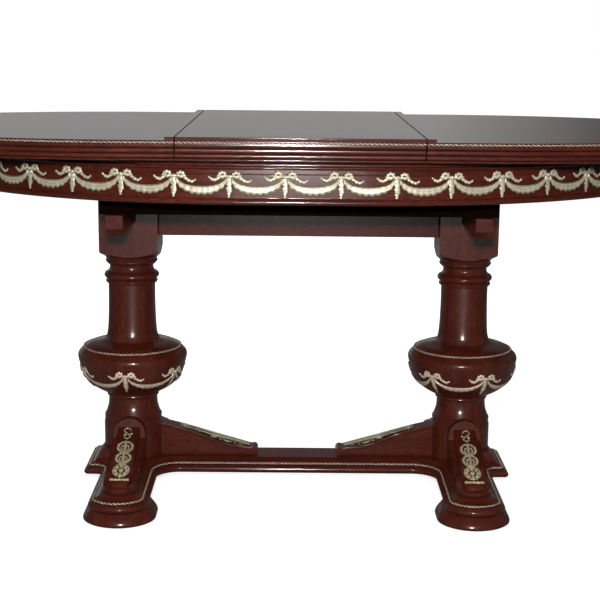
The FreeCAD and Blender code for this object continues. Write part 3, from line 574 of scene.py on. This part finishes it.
def end_arcs(x, inset, steps=(20, 40)):
    """The oval's right end, an arc between two flatter ones, from the front to the back."""
    turn = -math.atan2(FLANK_RADIUS - SIDE, CURVE_LENGTH - END_RADIUS)
    rise = FLANK_RADIUS - SIDE
    return [*arc(x, rise, FLANK_RADIUS - inset, -TURN / 4, turn, steps[0])[:-1],
            *arc(x + CURVE_LENGTH - END_RADIUS, 0, END_RADIUS - inset, turn, -turn, steps[1]),
            *arc(x, -rise, FLANK_RADIUS - inset, -turn, TURN / 4, steps[0])[1:]]


def half_line(inset, start=LIPPING[1]):
    """The edge of the right half, from its front corner round to the back one."""
    return [(start, inset - SIDE), *end_arcs(HALF_START + STRAIGHT, inset), (start, SIDE - inset)]


def edge_section(top):
    """The tops' edge: three rounded steps, the rope's groove and an eased arris."""
    keys = [(14.0, 0, 0), (12.0, 0, -0.3), (10.0, 3.2, 0), (13.0, 4.3, -0.28), (8.0, 11.9, 0),
            (11.2, 13.3, -0.28), (5.1, 21.6, 0), (8.4, 23.2, -0.28), (2.0, 30.9, 0), (4.3, 31.2, 0),
            (4.3, 35.8, 0), (0.6, 36.1, 0),
            (0, top - TOPS_UNDER - 1.2, -0.2), (1.2, top - TOPS_UNDER, 0), (3.2, top - TOPS_UNDER, 0)]
    return [(inset, TOPS_UNDER + z) for inset, z in moulded(keys)]


def core_point(inset, z):
    """Where a point of the moulded edge goes in the inside that closes a joint line."""
    floor = TOPS_UNDER + JOINT_FLOOR
    if z < floor:
        return inset + CORE_INSET, floor - (floor - z) * CORE_SHARE - CORE_DROP
    return JOINT_DEPTH + inset / CORE_LEAN, floor + (z - floor) * CORE_SHARE


def edge_bar(start, end, reach):
    """A length across the table with the moulded edge at the front and the back. Its inside reaches on past the
    ends, so that a joint is an open dark line at the faces and closed further in."""
    section = edge_section(LEAF_TOP)
    core = [core_point(inset, z) for inset, z in section]
    outline, inside = ([(SIDE - inset, z) for inset, z in line]
                       + [(inset - SIDE, z) for inset, z in reversed(line)] for line in (section, core))
    rows = [(start - reach[0], inside), (start, inside)] if reach[0] else []
    rows += [(start, outline), (end, outline)]
    rows += [(end, inside), (end + reach[1], inside)] if reach[1] else []
    return skin([[(x, y, z) for y, z in line] for x, line in rows])


pair("half_top", stacked(half_line, edge_section(HALF_TOP)), top_wood, slides=True)
pair("lipping", edge_bar(*LIPPING, (LIPPING_REACH, 0)), cross_wood, slides=True)
leaf = edge_bar(-LEAF_EDGE, LEAF_EDGE, (LEAF_REACH, LEAF_REACH))
piece("leaf_top", mesh_of("leaf_top", leaf), top_wood, "leaf", ["leaf_top"])
edge_inset, edge_z, edge_thickness = EDGE_ROPE
for side, sign in (("right", 1), ("left", -1)):
    edge_line = [(sign * x, y, edge_z) for x, y in half_line(edge_inset, LIPPING[0])]
    rope(f"{side}_edge_rope", [(edge_line, False)], edge_thickness, f"{side}_half")
leaf_lines = [([(-LEAF_EDGE, y, edge_z), (LEAF_EDGE, y, edge_z)], False)
              for y in (edge_inset - SIDE, SIDE - edge_inset)]
rope("leaf_ropes", leaf_lines, edge_thickness, "leaf")


# Apron: a torus along the foot, a flat frieze with a bead, a cove and fillet under the tops

apron_keys = [(3.0, 0, -0.32), (0.8, 10.3, 0), (2.4, 10.7, 0.22), (6.0, 12.6, 0), (6.0, 54.6, -0.4),
              (6.0, 57.2, 0), (6.0, 64.0, 0), (3.0, 65.4, -0.4), (2.6, 71.4, 0), (4.2, 72.0, 0.24),
              (1.4, 77.4, 0), (0.6, 77.8, -0.1), (0, 82.2, 0)]
apron_section = [(inset, APRON_BOTTOM + z) for inset, z in moulded(apron_keys)]
apron_section += [(APRON_WALL, APRON_TOP), (APRON_WALL, APRON_BOTTOM)]


def apron_end(inset):
    return end_arcs(STRAIGHT, OVERHANG + inset)


def front_quarter(inset):
    line = apron_end(inset)
    return line[:len(line) // 2 + 1]


def front_rail(inset):
    return [(-STRAIGHT, OVERHANG + inset - SIDE), (STRAIGHT, OVERHANG + inset - SIDE)]


rail = swept(front_rail, apron_section)
quarter = swept(front_quarter, apron_section)
for end, turn in (("front", lambda shape: shape), ("back", lambda shape: flipped(shape, 1))):
    piece(f"{end}_apron_rail", mesh_of("rail", turn(rail)), bent_wood, "base", [f"{end}_apron_rail"])
    for side, form in (("right", turn(quarter)), ("left", flipped(turn(quarter), 0))):
        piece(f"{end}_{side}_apron_quarter", mesh_of("quarter", form), bent_wood, "base",
              [f"{end}_{side}_apron_quarter"])


# Turned pedestals

column_runs = [
    [(1.16, 0), (1.07, 0.07), (1.02, 0.2), (0.99, 0.45), (0.99, 0.68)],
    [(0.99, 0.68), (1.06, 0.685)],
    [(1.06, 0.685), (1.1, 0.705), (1.06, 0.725)],
    [(1.06, 0.725), (1.03, 0.735)],
    [(1.03, 0.735), (1.12, 0.75), (1.16, 0.775), (1.12, 0.805), (1.03, 0.82)],
    [(1.03, 0.82), (0.97, 0.83)],
    [(0.97, 0.83), (0.92, 0.87), (0.94, 0.905)],
    [(0.94, 0.905), (1, 0.91)],
    [(1, 0.91), (1.1, 0.945), (1.06, 0.97)],
    [(1.06, 0.97), (1.12, 1)],
]
shaft = turned(runs(column_runs, COLUMN_RADIUS, BULB_TOP, BLOCK_BOTTOM - BULB_TOP))
square = [(-BLOCK, -BLOCK), (BLOCK, -BLOCK), (BLOCK, BLOCK), (-BLOCK, BLOCK)]
pommel = [(share * BLOCK, BLOCK_BOTTOM + rise)
          for share, rise in ((0.92, 0), (1.05, 5), (1.3, 12), (1.45, 20))]
head = common(prism(square, 2, BLOCK_BOTTOM - 1, APRON_BOTTOM),
              turned([*smooth(pommel, 5), (pommel[-1][0], APRON_BOTTOM + 1)]))
post = joined(shaft, head)
for side, sign in (("right", 1), ("left", -1)):
    column = eased(mesh_of("post", moved(post, sign * PEDESTAL_X, 0)), width=0.9)
    piece(f"{side}_column", column, tall_wood, "base", [f"{side}_column"])

bulb_run = [(0.474, 0), (0.74, 0.155), (0.9, 0.34), (0.97, 0.55), (1, 0.735), (0.905, 0.85)]
bulb_curve = [(r * BULB_RADIUS, DRUM_TOP + z * BULB_HEIGHT) for r, z in smooth(bulb_run, 8)]
rim_radius, rim_z = bulb_curve[-1]
ledge_radius = rim_radius - LEDGE_DEPTH
bulb_crown = [(ledge_radius - 1, rim_z + 5.2), (88.0, 306.0), (70.0, 309.5), (58.0, BULB_TOP)]
bulb_profile = [*bulb_curve, (ledge_radius, rim_z), (ledge_radius, rim_z + LEDGE_HEIGHT), *smooth(bulb_crown, 5)]
pair("bulb", moved(turned(bulb_profile), PEDESTAL_X, 0), tall_wood)
ring_radius, ring_z = ledge_radius + BULB_ROPE_SEAT, rim_z + BULB_ROPE_SEAT
rings = [([(x + r_x, r_y, ring_z) for r_x, r_y in circle(ring_radius, steps=96)], True)
         for x in (-PEDESTAL_X, PEDESTAL_X)]
rope("bulb_ropes", rings, BULB_ROPE, "base")

drum_runs = [
    [(1, 0), (1, 0.42)],
    [(1, 0.42), (1, 0.52), (0.965, 0.6)],
    [(0.965, 0.6), (0.985, 0.615), (0.98, 0.645), (0.94, 0.665)],
    [(0.94, 0.665), (0.86, 0.78), (0.835, 0.88), (0.84, 0.94)],
    [(0.84, 0.94), (0.88, 0.955)],
    [(0.88, 0.955), (0.895, 0.975), (0.88, 1)],
]
drum = turned(runs(drum_runs, DRUM_RADIUS, PLATFORM_TOP, DRUM_TOP - PLATFORM_TOP))
pair("drum", moved(drum, PEDESTAL_X, 0), tall_wood)


# Platform: bullnose, ledge for the rope, cove up to the flat top

platform_keys = [(7.0, SHOE_TOP, 0), (5.0, SHOE_TOP, -0.36), (5.6, 47.1, 0), (12.5, 47.5, 0), (13.2, 52.6, 0.05),
                 (23.6, 58.8, 0), (25.0, PLATFORM_TOP, 0), (27.0, PLATFORM_TOP, 0)]
platform_section = moulded(platform_keys, steps=9)


def round_end(y, form, inset, steps=(12, 22)):
    """A round front end on the right pedestal's line, one arc between two tighter ones, beginning at -y."""
    half, rise, corner = form
    crown = (half**2 + rise**2 - 2 * half * corner) / (2 * (rise - corner))
    turn = math.atan2(crown - rise, half - corner)
    x, side = PEDESTAL_X, half - corner
    return [*arc(x - side, -y, corner - inset, -TURN / 2, turn - TURN / 2, steps[0])[:-1],
            *arc(x, crown - rise - y, crown - inset, turn - TURN / 2, -turn, steps[1]),
            *arc(x + side, -y, corner - inset, -turn, 0, steps[0])[1:]]


def platform_line(inset, bend=0):
    """The right platform's open outline, from the stretcher's front edge round foot, stub and foot."""
    foot, stub, x = FOOT - inset, STUB - inset, PEDESTAL_X
    inner, outer, end = INNER_CORNER + inset, OUTER_CORNER + inset, PEDESTAL_X + STUB_LENGTH - inset
    front = [*arc(JOINT_X, inset - STRETCHER - inner, inner, TURN / 4, 0, 10),
             *round_end(FOOT_REACH, FOOT_ROUND, inset),
             *arc(x + foot + outer, -stub - outer, outer, TURN / 2, TURN / 4, 7)]
    front += arc(end - bend, bend - stub, bend, -TURN / 4, 0, 5) if bend else [(end, -stub)]
    return [*front, *[(px, -py) for px, py in reversed(front)]]


cap_foot = PLATFORM_TOP - 2
stub_slope = [(CAP_START, cap_foot), (CAP_END, cap_foot), (CAP_END, PLATFORM_TOP), (DRUM_RADIUS, CAP_TOP),
              (CAP_START, CAP_TOP)]
stub_cap = moved(prism(stub_slope, 1, -CAP_HALF, CAP_HALF), PEDESTAL_X, 0)
pair("foot_platform", joined(stacked(platform_line, platform_section), stub_cap), long_wood)
board_outline = [(inset - STRETCHER, z) for inset, z in platform_section]
board_outline += [(-y, z) for y, z in reversed(board_outline)]
piece("stretcher_board", mesh_of("board", prism(board_outline, 0, -JOINT_X, JOINT_X)), long_wood, "base",
      ["stretcher_board"])
rope_inset, rope_z, rope_thickness = BASE_ROPE
around = [(x, y, rope_z) for x, y in platform_line(rope_inset, ROPE_BEND)]
rope_y = STRETCHER - rope_inset
base_lines = [(around, False), ([(-x, y, z) for x, y, z in around], False),
              *[([(-JOINT_X, y, rope_z), (JOINT_X, y, rope_z)], False) for y in (-rope_y, rope_y)]]
rope("base_ropes", base_lines, rope_thickness, "base")


def shoe_line(inset):
    """A rear shoe's outline, round at its front and its back."""
    front = round_end(SHOE_STRAIGHT, SHOE_ROUND, inset)
    return [(x, y + SHOE_REACH) for x, y in [*front, *[(x, -y) for x, y in reversed(front)]]]


shoe_flare = [(5.2, 0), (1.6, 2.0), (0, 5.0), (0.8, 9.4), (3.0, 14.0), (6.3, 18.6), (9.9, 23.2), (12.8, 27.2),
              (15.0, SHOE_TOP)]
shoe = stacked(shoe_line, smooth(shoe_flare, 3))
pair("rear_shoe", shoe, tall_wood)
pair("front_shoe", flipped(shoe, 1), tall_wood)


# Knees: an arch-topped case against the drum, a raised bar sloping out along the foot

case_side = [(0.1, 0), (1, 0), (0.985, 0.06), (0.94, 0.1), (0.29, 0.58), (0.27, 1), (0.1, 1)]
bar_side = [(0.1, 0), (0.955, 0), (0.945, 0.1), (0.92, 0.18), (0.3, 0.81), (0.1, 0.81)]


def knee_slab(shares, half, *limits):
    """A wedge running out along the foot, round at its nose."""
    side = [(d * KNEE_REACH, PLATFORM_TOP + z * KNEE_HEIGHT) for d, z in shares]
    middle = max(d for d, z in side) - half
    plan = [(half, 0), *arc(0, middle, half, 0, TURN / 2, 24), (-half, 0)]
    low, high = PLATFORM_TOP - 1, PLATFORM_TOP + KNEE_HEIGHT + 1
    return common(prism(side, 0, -half - 1, half + 1), prism(plan, 2, low, high), *limits)


spring = PLATFORM_TOP + KNEE_HEIGHT - CASE_HALF
arch_line = [(CASE_HALF, PLATFORM_TOP - 1), *arc(0, spring, CASE_HALF, 0, TURN / 2, 24),
             (-CASE_HALF, PLATFORM_TOP - 1)]
arch = prism(arch_line, 1, 0, KNEE_REACH + 1)
knee = moved(joined(knee_slab(case_side, CASE_HALF, arch), knee_slab(bar_side, BAR_HALF)), PEDESTAL_X, 0)
pair("rear_knee", knee, cross_wood, ease=1.2)
pair("front_knee", flipped(knee, 1), cross_wood, ease=1.2)


# Wings: web and moulded cap along an S-curve, with a scroll at the low end

wing_curve = [(0.1, 1), (0.22, 0.98), (0.42, 0.8), (0.585, 0.585), (0.745, 0.35), (0.967, 0.215)]
wing_line = [(PEDESTAL_X - e * WING_REACH, PLATFORM_TOP + z * WING_HEIGHT) for e, z in smooth(wing_curve, 9)]
cap_keys = [(0, 0, 0), (20.2, 0, -0.3), (21.0, -0.9, 0), (21.0, -4.2, 0), (19.4, -4.6, 0), (19.4, -5.4, 0.3),
            (15.4, -9.4, 0), (15.4, -11.0, 0), (WEB_HALF, -11.2, 0)]
cap_section = moulded(cap_keys)[1:]
cap_rows = []
for x, z in wing_line:
    right = [(x, y, max(z + drop, PLATFORM_TOP + 0.5)) for y, drop in cap_section]
    right.append((x, WEB_HALF, PLATFORM_TOP))
    cap_rows.append([*right, *[(px, -py, pz) for px, py, pz in reversed(right)]])
volute_side = [(0.01, -21.5), (3.0, -21.5), (3.4, -20.2), (4.4, -20.2), (4.8, -21.5), (7.6, -21.5),
               (VOLUTE, -20.8)]
volute = turned([*volute_side, *[(r, -z) for r, z in reversed(volute_side)]], steps=40)
low_end = Matrix.Translation((wing_line[-1][0], 0, PLATFORM_TOP + VOLUTE))
scroll = placed(volute, low_end @ Matrix.Rotation(TURN / 4, 4, "X"))
pair("wing_bracket", joined(skin(cap_rows), scroll), long_wood)


# Brass relief, drawn flat: x along, y out of the face, z up

def band(path, height, steps=5, ripples=0, slant=0.0, frill=0.0, pleats=0, closed=False):
    """A strip along (x, z, half width) points, round on its face and flat behind. Ripples cross it like leaves
    or gathers, slanted from its middle; a frill lets them swell its lower edge; pleats run along it."""
    line = looped(path, steps) if closed else smooth(path, steps)
    lanes = 3 * pleats if pleats else 6
    rows = []
    for i, (x, z, half) in enumerate(line):
        back = line[i - 1] if closed or i else line[0]
        ahead = line[(i + 1) % len(line)] if closed or i < len(line) - 1 else line[-1]
        d_x, d_z = ahead[0] - back[0], ahead[1] - back[1]
        size = math.hypot(d_x, d_z) or 1
        row = []
        for k in range(lanes + 1):
            across = -math.cos(TURN / 2 * k / lanes)
            gather = 0.5 + 0.5 * math.cos(TURN * (ripples * i / (len(line) - 1) + slant * abs(across)))
            pleat = 0.5 - 0.5 * math.cos(TURN * pleats * k / lanes)
            rise = math.sin(TURN / 2 * k / lanes) ** 0.8
            rise *= 0.6 + 0.4 * gather if ripples and not pleats else 1
            rise *= 0.5 + 0.4 * pleat + 0.1 * gather if pleats else 1
            reach = half * across * (1 + frill * gather if across < 0 else 1)
            row.append((x - reach * d_z / size, rise * height, z + reach * d_x / size, rise))
        rows.append([*row, *[(row[k][0], -RELIEF_BACK, row[k][2], 0.0) for k in (-1, 0)]])
    return skin(rows, tube=closed)


def boss(x, z, width, height, tall=None):
    """A small dome of a half width and a height. tall: half its extent upward, where it is oval."""
    rows = []
    for share, rise in ((1, -RELIEF_BACK / height), (1, 0.1), (0.84, 0.62), (0.5, 0.9), (0.12, 1)):
        rows.append([(x + px * width, rise * height, z + pz * (tall or width), max(rise, 0))
                     for px, pz in circle(share, 10)])
    return skin(rows)


def oval(x, z, wide, tall, half, count):
    """Points round an oval, each with the half width of a strip along it."""
    turns = [TURN * k / count for k in range(count)]
    return [(x + wide * math.cos(a), z + tall * math.sin(a), half) for a in turns]


def garland(pitch, width):
    """A bow with two puffed loops and curling ends, a drop under it, and the pleated, scalloped swag to the next
    bow. width: half that of the swag."""
    left_loop = oval(-12.2, 43.2, 5.0, 3.7, 3.5, 8)
    right_loop = oval(13.2, 42.6, 5.2, 3.5, 3.3, 8)
    left_end = [(-15, 39, 2.6), (-21, 36, 3.0), (-26.5, 33.4, 3.1), (-31.5, 34.6, 2.9), (-36, 38, 2.1)]
    right_end = [(16, 39, 2.6), (22, 36, 3.0), (28, 32, 3.0), (34, 30.2, 2.7), (39.5, 32.4, 2.0)]
    bar = [(-9, 40.6, 2.6), (-4, 39.8, 3.2), (0, 39.6, 3.8), (4, 39.8, 3.2), (9, 40.6, 2.6)]
    drop = [(0, 38, 3.8), (-0.6, 32, 4.8), (0.5, 25, 5.2), (0.3, 18, 5.6), (0.6, 13.6, 5.8), (0, 9.6, 4.0),
            (-0.4, 5, 2.9), (0, 1, 1.6)]
    middle = pitch / 2
    hang = [(1 - 6 / middle, 36.5, 0.28), (0.86, 30.6, 0.46), (0.68, 22.6, 0.68), (0.47, 17.6, 0.87),
            (0.23, 15.2, 0.97)]
    swag = [*[(middle - share * middle, z, width * half) for share, z, half in hang], (middle, 14.6, width),
            *[(middle + share * middle, z, width * half) for share, z, half in reversed(hang)]]
    return joined(band(swag, 2.8, 7, 11, frill=0.3, pleats=4), band(drop, 2.7, 5, 6, slant=0.6, frill=0.3),
                  band(left_end, 2.4, 4, 4, frill=0.35), band(right_end, 2.4, 4, 4, frill=0.35),
                  boss(-36.8, 38.8, 2.3, 2.6), boss(40, 33.2, 2.3, 2.6),
                  band(left_loop, 3.0, 3, 6, slant=0.4, frill=0.3, closed=True),
                  band(right_loop, 3.0, 3, 6, slant=0.4, frill=0.3, closed=True), boss(-20, 41, 2.8, 2.8),
                  boss(20.8, 40, 2.8, 2.8), band(bar, 3.0, 3, 3), boss(0.4, 39.8, 3.4, 3.6, 4.2))


frieze_end = apron_end(FRIEZE_INSET)
front_y = OVERHANG + FRIEZE_INSET - SIDE
frieze_path = [(FRIEZE_START, front_y), *frieze_end, *[(-x, -y) for x, y in frieze_end]]
frieze_path = [(x, y, FRIEZE_FOOT) for x, y in frieze_path]
frieze_length = sum(math.dist(a, b) for a, b in zip(frieze_path, [*frieze_path[1:], frieze_path[0]]))
frieze_pitch = frieze_length / FRIEZE_COUNT
frieze_motif = garland(frieze_pitch, FRIEZE_SWAG)
frieze = trail("frieze_garlands", frieze_motif, frieze_path, True, FRIEZE_COUNT, frieze_pitch, (0, 0, 1),
               frieze_gilt)
piece("frieze_garlands", frieze, frieze_gilt, "base", ["frieze_garlands"])

hung_radius = BULB_RADIUS + BULB_LIFT
bulb_pitch = TURN * hung_radius / BULB_COUNT


def on_bulb(shape):
    """The motif's relief leaned to the bulb's own profile."""
    points = []
    for x, y, z, rise in shape[0]:
        level = BULB_FOOT + z
        near = max(k for k, (r, h) in enumerate(bulb_curve[:-1]) if h <= level or k == 0)
        (r_low, z_low), (r_high, z_high) = bulb_curve[near], bulb_curve[near + 1]
        radius = r_low + (r_high - r_low) * (level - z_low) / (z_high - z_low)
        points.append((x, y + radius - BULB_RADIUS, z, rise))
    return points, shape[1]


bulb_motif = on_bulb(garland(bulb_pitch, BULB_SWAG))
for side, x, first_bow in (("left", -PEDESTAL_X, -92), ("right", PEDESTAL_X, -70)):
    ring = [(x + px, py, BULB_FOOT) for px, py in circle(hung_radius, 120, math.radians(first_bow))]
    hung = trail(f"{side}_bulb_garlands", bulb_motif, ring, True, BULB_COUNT, bulb_pitch, (0, 0, 1), warm_gilt)
    piece(f"{side}_bulb_garlands", hung, warm_gilt, "base", [f"{side}_bulb_garlands"])


def strip_motif():
    """One length of the wings' pierced strip: an oval ring with a bud in it, and a leaf to the next."""
    ring = [(-9, 0, 1.8), (-6, 7, 2.0), (0, 10, 2.1), (6, 7, 2.0), (9, 0, 1.8), (6, -7, 2.0), (0, -10, 2.1),
            (-6, -7, 2.0)]
    leaf = [(9, 0, 1.2), (14, 0, 4.4), (19, 0, 3.4), (25, 0, 1.2)]
    return joined(band(ring, 3.0, 3, closed=True), boss(0, 0, 4.4, 3.8, 5.0), band(leaf, 3.2, 4, 4, 0.5),
                  boss(16.6, 9.4, 2.4, 3.0), boss(16.6, -9.4, 2.4, 3.0))


strip_path = [(x, 0, z + STRIP_LIFT) for x, z in wing_line
              if STRIP_SPAN[0] * WING_REACH <= PEDESTAL_X - x <= STRIP_SPAN[1] * WING_REACH]
strip = trail("wing_strips", moved(strip_motif(), STRIP_START, 0), strip_path, False, STRIP_COUNT, STRIP_PITCH,
              (0, -1, 0), frieze_gilt)
other = strip.copy()
other.transform(Matrix.Scale(-1, 4, (1, 0, 0)))
other.flip_normals()
both = bmesh.new()
both.from_mesh(strip)
both.from_mesh(other)
both.to_mesh(strip)
both.free()
piece("wing_strips", strip, frieze_gilt, "base", ["wing_strips"])


def knee_motif():
    """A knee's ornament, hung from the top of the slope: scroll, two pierced rings, a rosette and a bar."""
    def ring(z, wide, tall):
        stem = [(0, z + tall, 2.8), (0, z + tall * 0.3, 4.0), (0, z - tall * 0.3, 4.0), (0, z - tall, 2.8)]
        beads = [boss(side * wide * 0.98, z + step * tall, 3.0, 3.4)
                 for side in (-1, 1) for step in (-0.34, 0.34)]
        curls = [band([(side * 4, z - tall * 0.7, 1.4), (side * wide * 0.55, z - tall * 0.25, 1.8),
                       (side * wide * 0.4, z + tall * 0.3, 1.6), (side * 3, z + tall * 0.1, 1.2)], 2.4)
                 for side in (-1, 1)]
        rim = oval(0, z, wide, tall, 3.2, 10)
        return joined(band(rim, 3.2, 3, ripples=12, closed=True), band(stem, 3.6, 4, 5, 0.5), *beads, *curls)
    scroll_line = [(-7, -14, 1.4), (-2, -5, 1.8), (5, -5, 1.9), (8, -12, 1.8), (5, -19, 1.9), (-2, -26, 2.1),
                   (-6, -34, 2.0), (0, -42, 1.8), (6, -36, 1.5)]
    rosette = -153
    petals = [boss(x, z, 4.6, 3.4, 5.4) for x, z, _ in oval(0, rosette, 11.5, 14.5, 0, 8)]
    border = oval(0, rosette, 15.8, 20.5, 2.2, 10)
    bar = [(-19.4, -184, 3.2), (-12, -184, 3.8), (0, -184, 3.2), (12, -184, 3.8), (19.4, -184, 3.2)]
    return joined(band(scroll_line, 3.0, 5, 9, 0.4), boss(5, -28, 4.0, 3.2), boss(-8, -24, 3.0, 2.8),
                  ring(-72, 14.6, 19.0), ring(-111, 14.0, 18.0), band(border, 3.0, 3, ripples=14, closed=True),
                  *petals, boss(0, rosette, 6.0, 4.0, 7.5), boss(0, -134, 3.4, 3.6), boss(0, -173, 4.0, 3.4),
                  band(bar, 3.9, 5, 6))


slope_foot, slope_top = (Vector((PEDESTAL_X, share * KNEE_REACH, PLATFORM_TOP + rise * KNEE_HEIGHT))
                         for share, rise in bar_side[3:5])
down = (slope_foot - slope_top).normalized()
face_out = Vector((1, 0, 0)).cross(down)
lean = Matrix((Vector((1, 0, 0)), face_out, -down)).transposed().to_4x4()
ornament = placed(knee_motif(), Matrix.Translation(slope_top + face_out * RELIEF_BACK) @ lean)
near = flipped(ornament, 1)
ornaments = joined(ornament, near, flipped(ornament, 0), flipped(near, 0))
piece("knee_ornaments", mesh_of("knee_ornaments", ornaments, RELIEF_CREASE), antique_gilt, "base",
      ["knee_ornaments"])


# Solids that stay as they are take their materials

kept = {
    cross_wood: ["left_arm", "right_arm"],
    long_wood: ["top_rail"],
    # the bearers take the painted shade
    bearer_black_painted_shade: ["front_bearer", "back_bearer"],
    frame_wood: ["left_saddle_rail", "right_saddle_rail", "slide_channels", "slide_end_stops", "left_runners",
                 "right_runners", "leaf_cleats", "apron_glue_blocks"],
    hardware: ["frame_screws", "left_runner_screws", "right_runner_screws", "tie_rods", "tie_rod_nuts",
               "tie_rod_washers"],
}
for finish, names in kept.items():
    for name in names:
        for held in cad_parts[name].material_slots:
            held.material = finish


# Floor, light and camera

LAMP_AIM = Vector((0, 0, 0.4))  # in metres, as the places of floor, lamps and camera


def stage_floor():
    """A pale floor that keeps the table's shadow and turns white further out."""
    half, level = 60.0, -0.0005
    mesh = bpy.data.meshes.new("floor")
    corners = ((-half, -half), (half, -half), (half, half), (-half, half))
    mesh.from_pydata([(x, y, level) for x, y in corners], [], [(0, 1, 2, 3)])
    floor = stand_in("floor", mesh)
    made, tree, shader = material("pale_studio_floor", Roughness=0.9, Specular_IOR_Level=0.0,
                                  Emission_Color=(1, 1, 1, 1))
    rays = add(tree, "ShaderNodeLightPath").outputs
    seen = rays["Is Camera Ray"]
    place = add(tree, "ShaderNodeTexCoord").outputs["Object"]
    away = add(tree, "ShaderNodeVectorMath", {0: place}, operation="LENGTH").outputs["Value"]
    lift = calc(tree, "MULTIPLY", seen, ranged(tree, away, 0.5, 1.4, to=(0.8, 1.0)))
    dim = blend(tree, rays["Is Glossy Ray"], colour("#404040"), colour("#8c8c8c"))
    tone = blend(tree, seen, dim, colour("#d8d8d8"))
    connect(tree, shader, Base_Color=tone, Emission_Strength=lift)
    mesh.materials.append(made)


def area_light(name, place, size, power, gleams=False):
    """A soft lamp aimed at the table. One that gleams is only seen mirrored once in the polish, the others
    never are."""
    data = bpy.data.lights.new(name, "AREA")
    data.energy, data.size = power, size
    lamp = stand_in(name, data)
    lamp.location = place
    lamp.rotation_euler = (LAMP_AIM - Vector(place)).to_track_quat("-Z", "Y").to_euler()
    lamp.visible_glossy, lamp.visible_diffuse = gleams, not gleams
    if gleams:
        data.cycles.max_bounces, data.cycles.use_multiple_importance_sampling = 0, False


def studio_world():
    """White for the camera; for reflections a backdrop low behind the table, pale but for its right part, and a
    dim room around it."""
    world = bpy.data.worlds.new("studio")
    world.use_nodes = True
    tree = world.node_tree
    ground = tree.nodes["Background"]
    rays = add(tree, "ShaderNodeLightPath").outputs
    way = add(tree, "ShaderNodeSeparateXYZ", {0: add(tree, "ShaderNodeTexCoord").outputs["Generated"]}).outputs
    behind = ranged(tree, way["Y"], 0.2, 0.9)
    left = ranged(tree, way["X"], 0.24, 0.1, to=(0.07, 0.42))
    low = ranged(tree, way["Z"], 0.26, 0.12)
    backdrop = calc(tree, "MULTIPLY", behind, low)
    room = add(tree, "ShaderNodeMix", {0: backdrop, 2: 0.09, 3: left}).outputs[0]
    fill = add(tree, "ShaderNodeMix", {0: rays["Is Glossy Ray"], 2: 0.1, 3: room}).outputs[0]
    level = add(tree, "ShaderNodeMix", {0: rays["Is Camera Ray"], 2: fill, 3: 1.0}).outputs[0]
    connect(tree, ground, Strength=level)
    ground.inputs["Color"].default_value = (1, 1, 1, 1)
    scene.world = world


def photo_camera():
    """The photograph's view: eye, lens and lean found from the table's own edges."""
    pitch, roll, yaw = (math.radians(a) for a in (10.799, -0.575, 0.315))
    ahead = Vector((math.sin(yaw) * math.cos(pitch), math.cos(yaw) * math.cos(pitch), -math.sin(pitch)))
    right = Vector((math.cos(yaw), -math.sin(yaw), 0))
    under = ahead.cross(right)
    lean_right = math.cos(roll) * right + math.sin(roll) * under
    lean_under = math.cos(roll) * under - math.sin(roll) * right
    data = bpy.data.cameras.new("camera")
    data.sensor_width, data.lens = 36.0, 84.79
    eye = stand_in("camera", data)
    turn = Matrix((lean_right, -lean_under, -ahead)).transposed().to_4x4()
    eye.matrix_world = Matrix.Translation((-0.0122, -2.9636, 0.9633)) @ turn
    scene.camera = eye


stage_floor()
studio_world()
area_light("flash", (-0.03, -2.95, 1.2), size=0.16, power=68)
area_light("flash_gleam", (-0.03, -2.95, 0.7), size=0.14, power=58, gleams=True)
area_light("overhead", (-0.4, -1.2, 2.6), size=1.6, power=3)
area_light("back", (0, 3.2, 2.0), size=2.4, power=52)
photo_camera()
scene.view_settings.view_transform = "Standard"
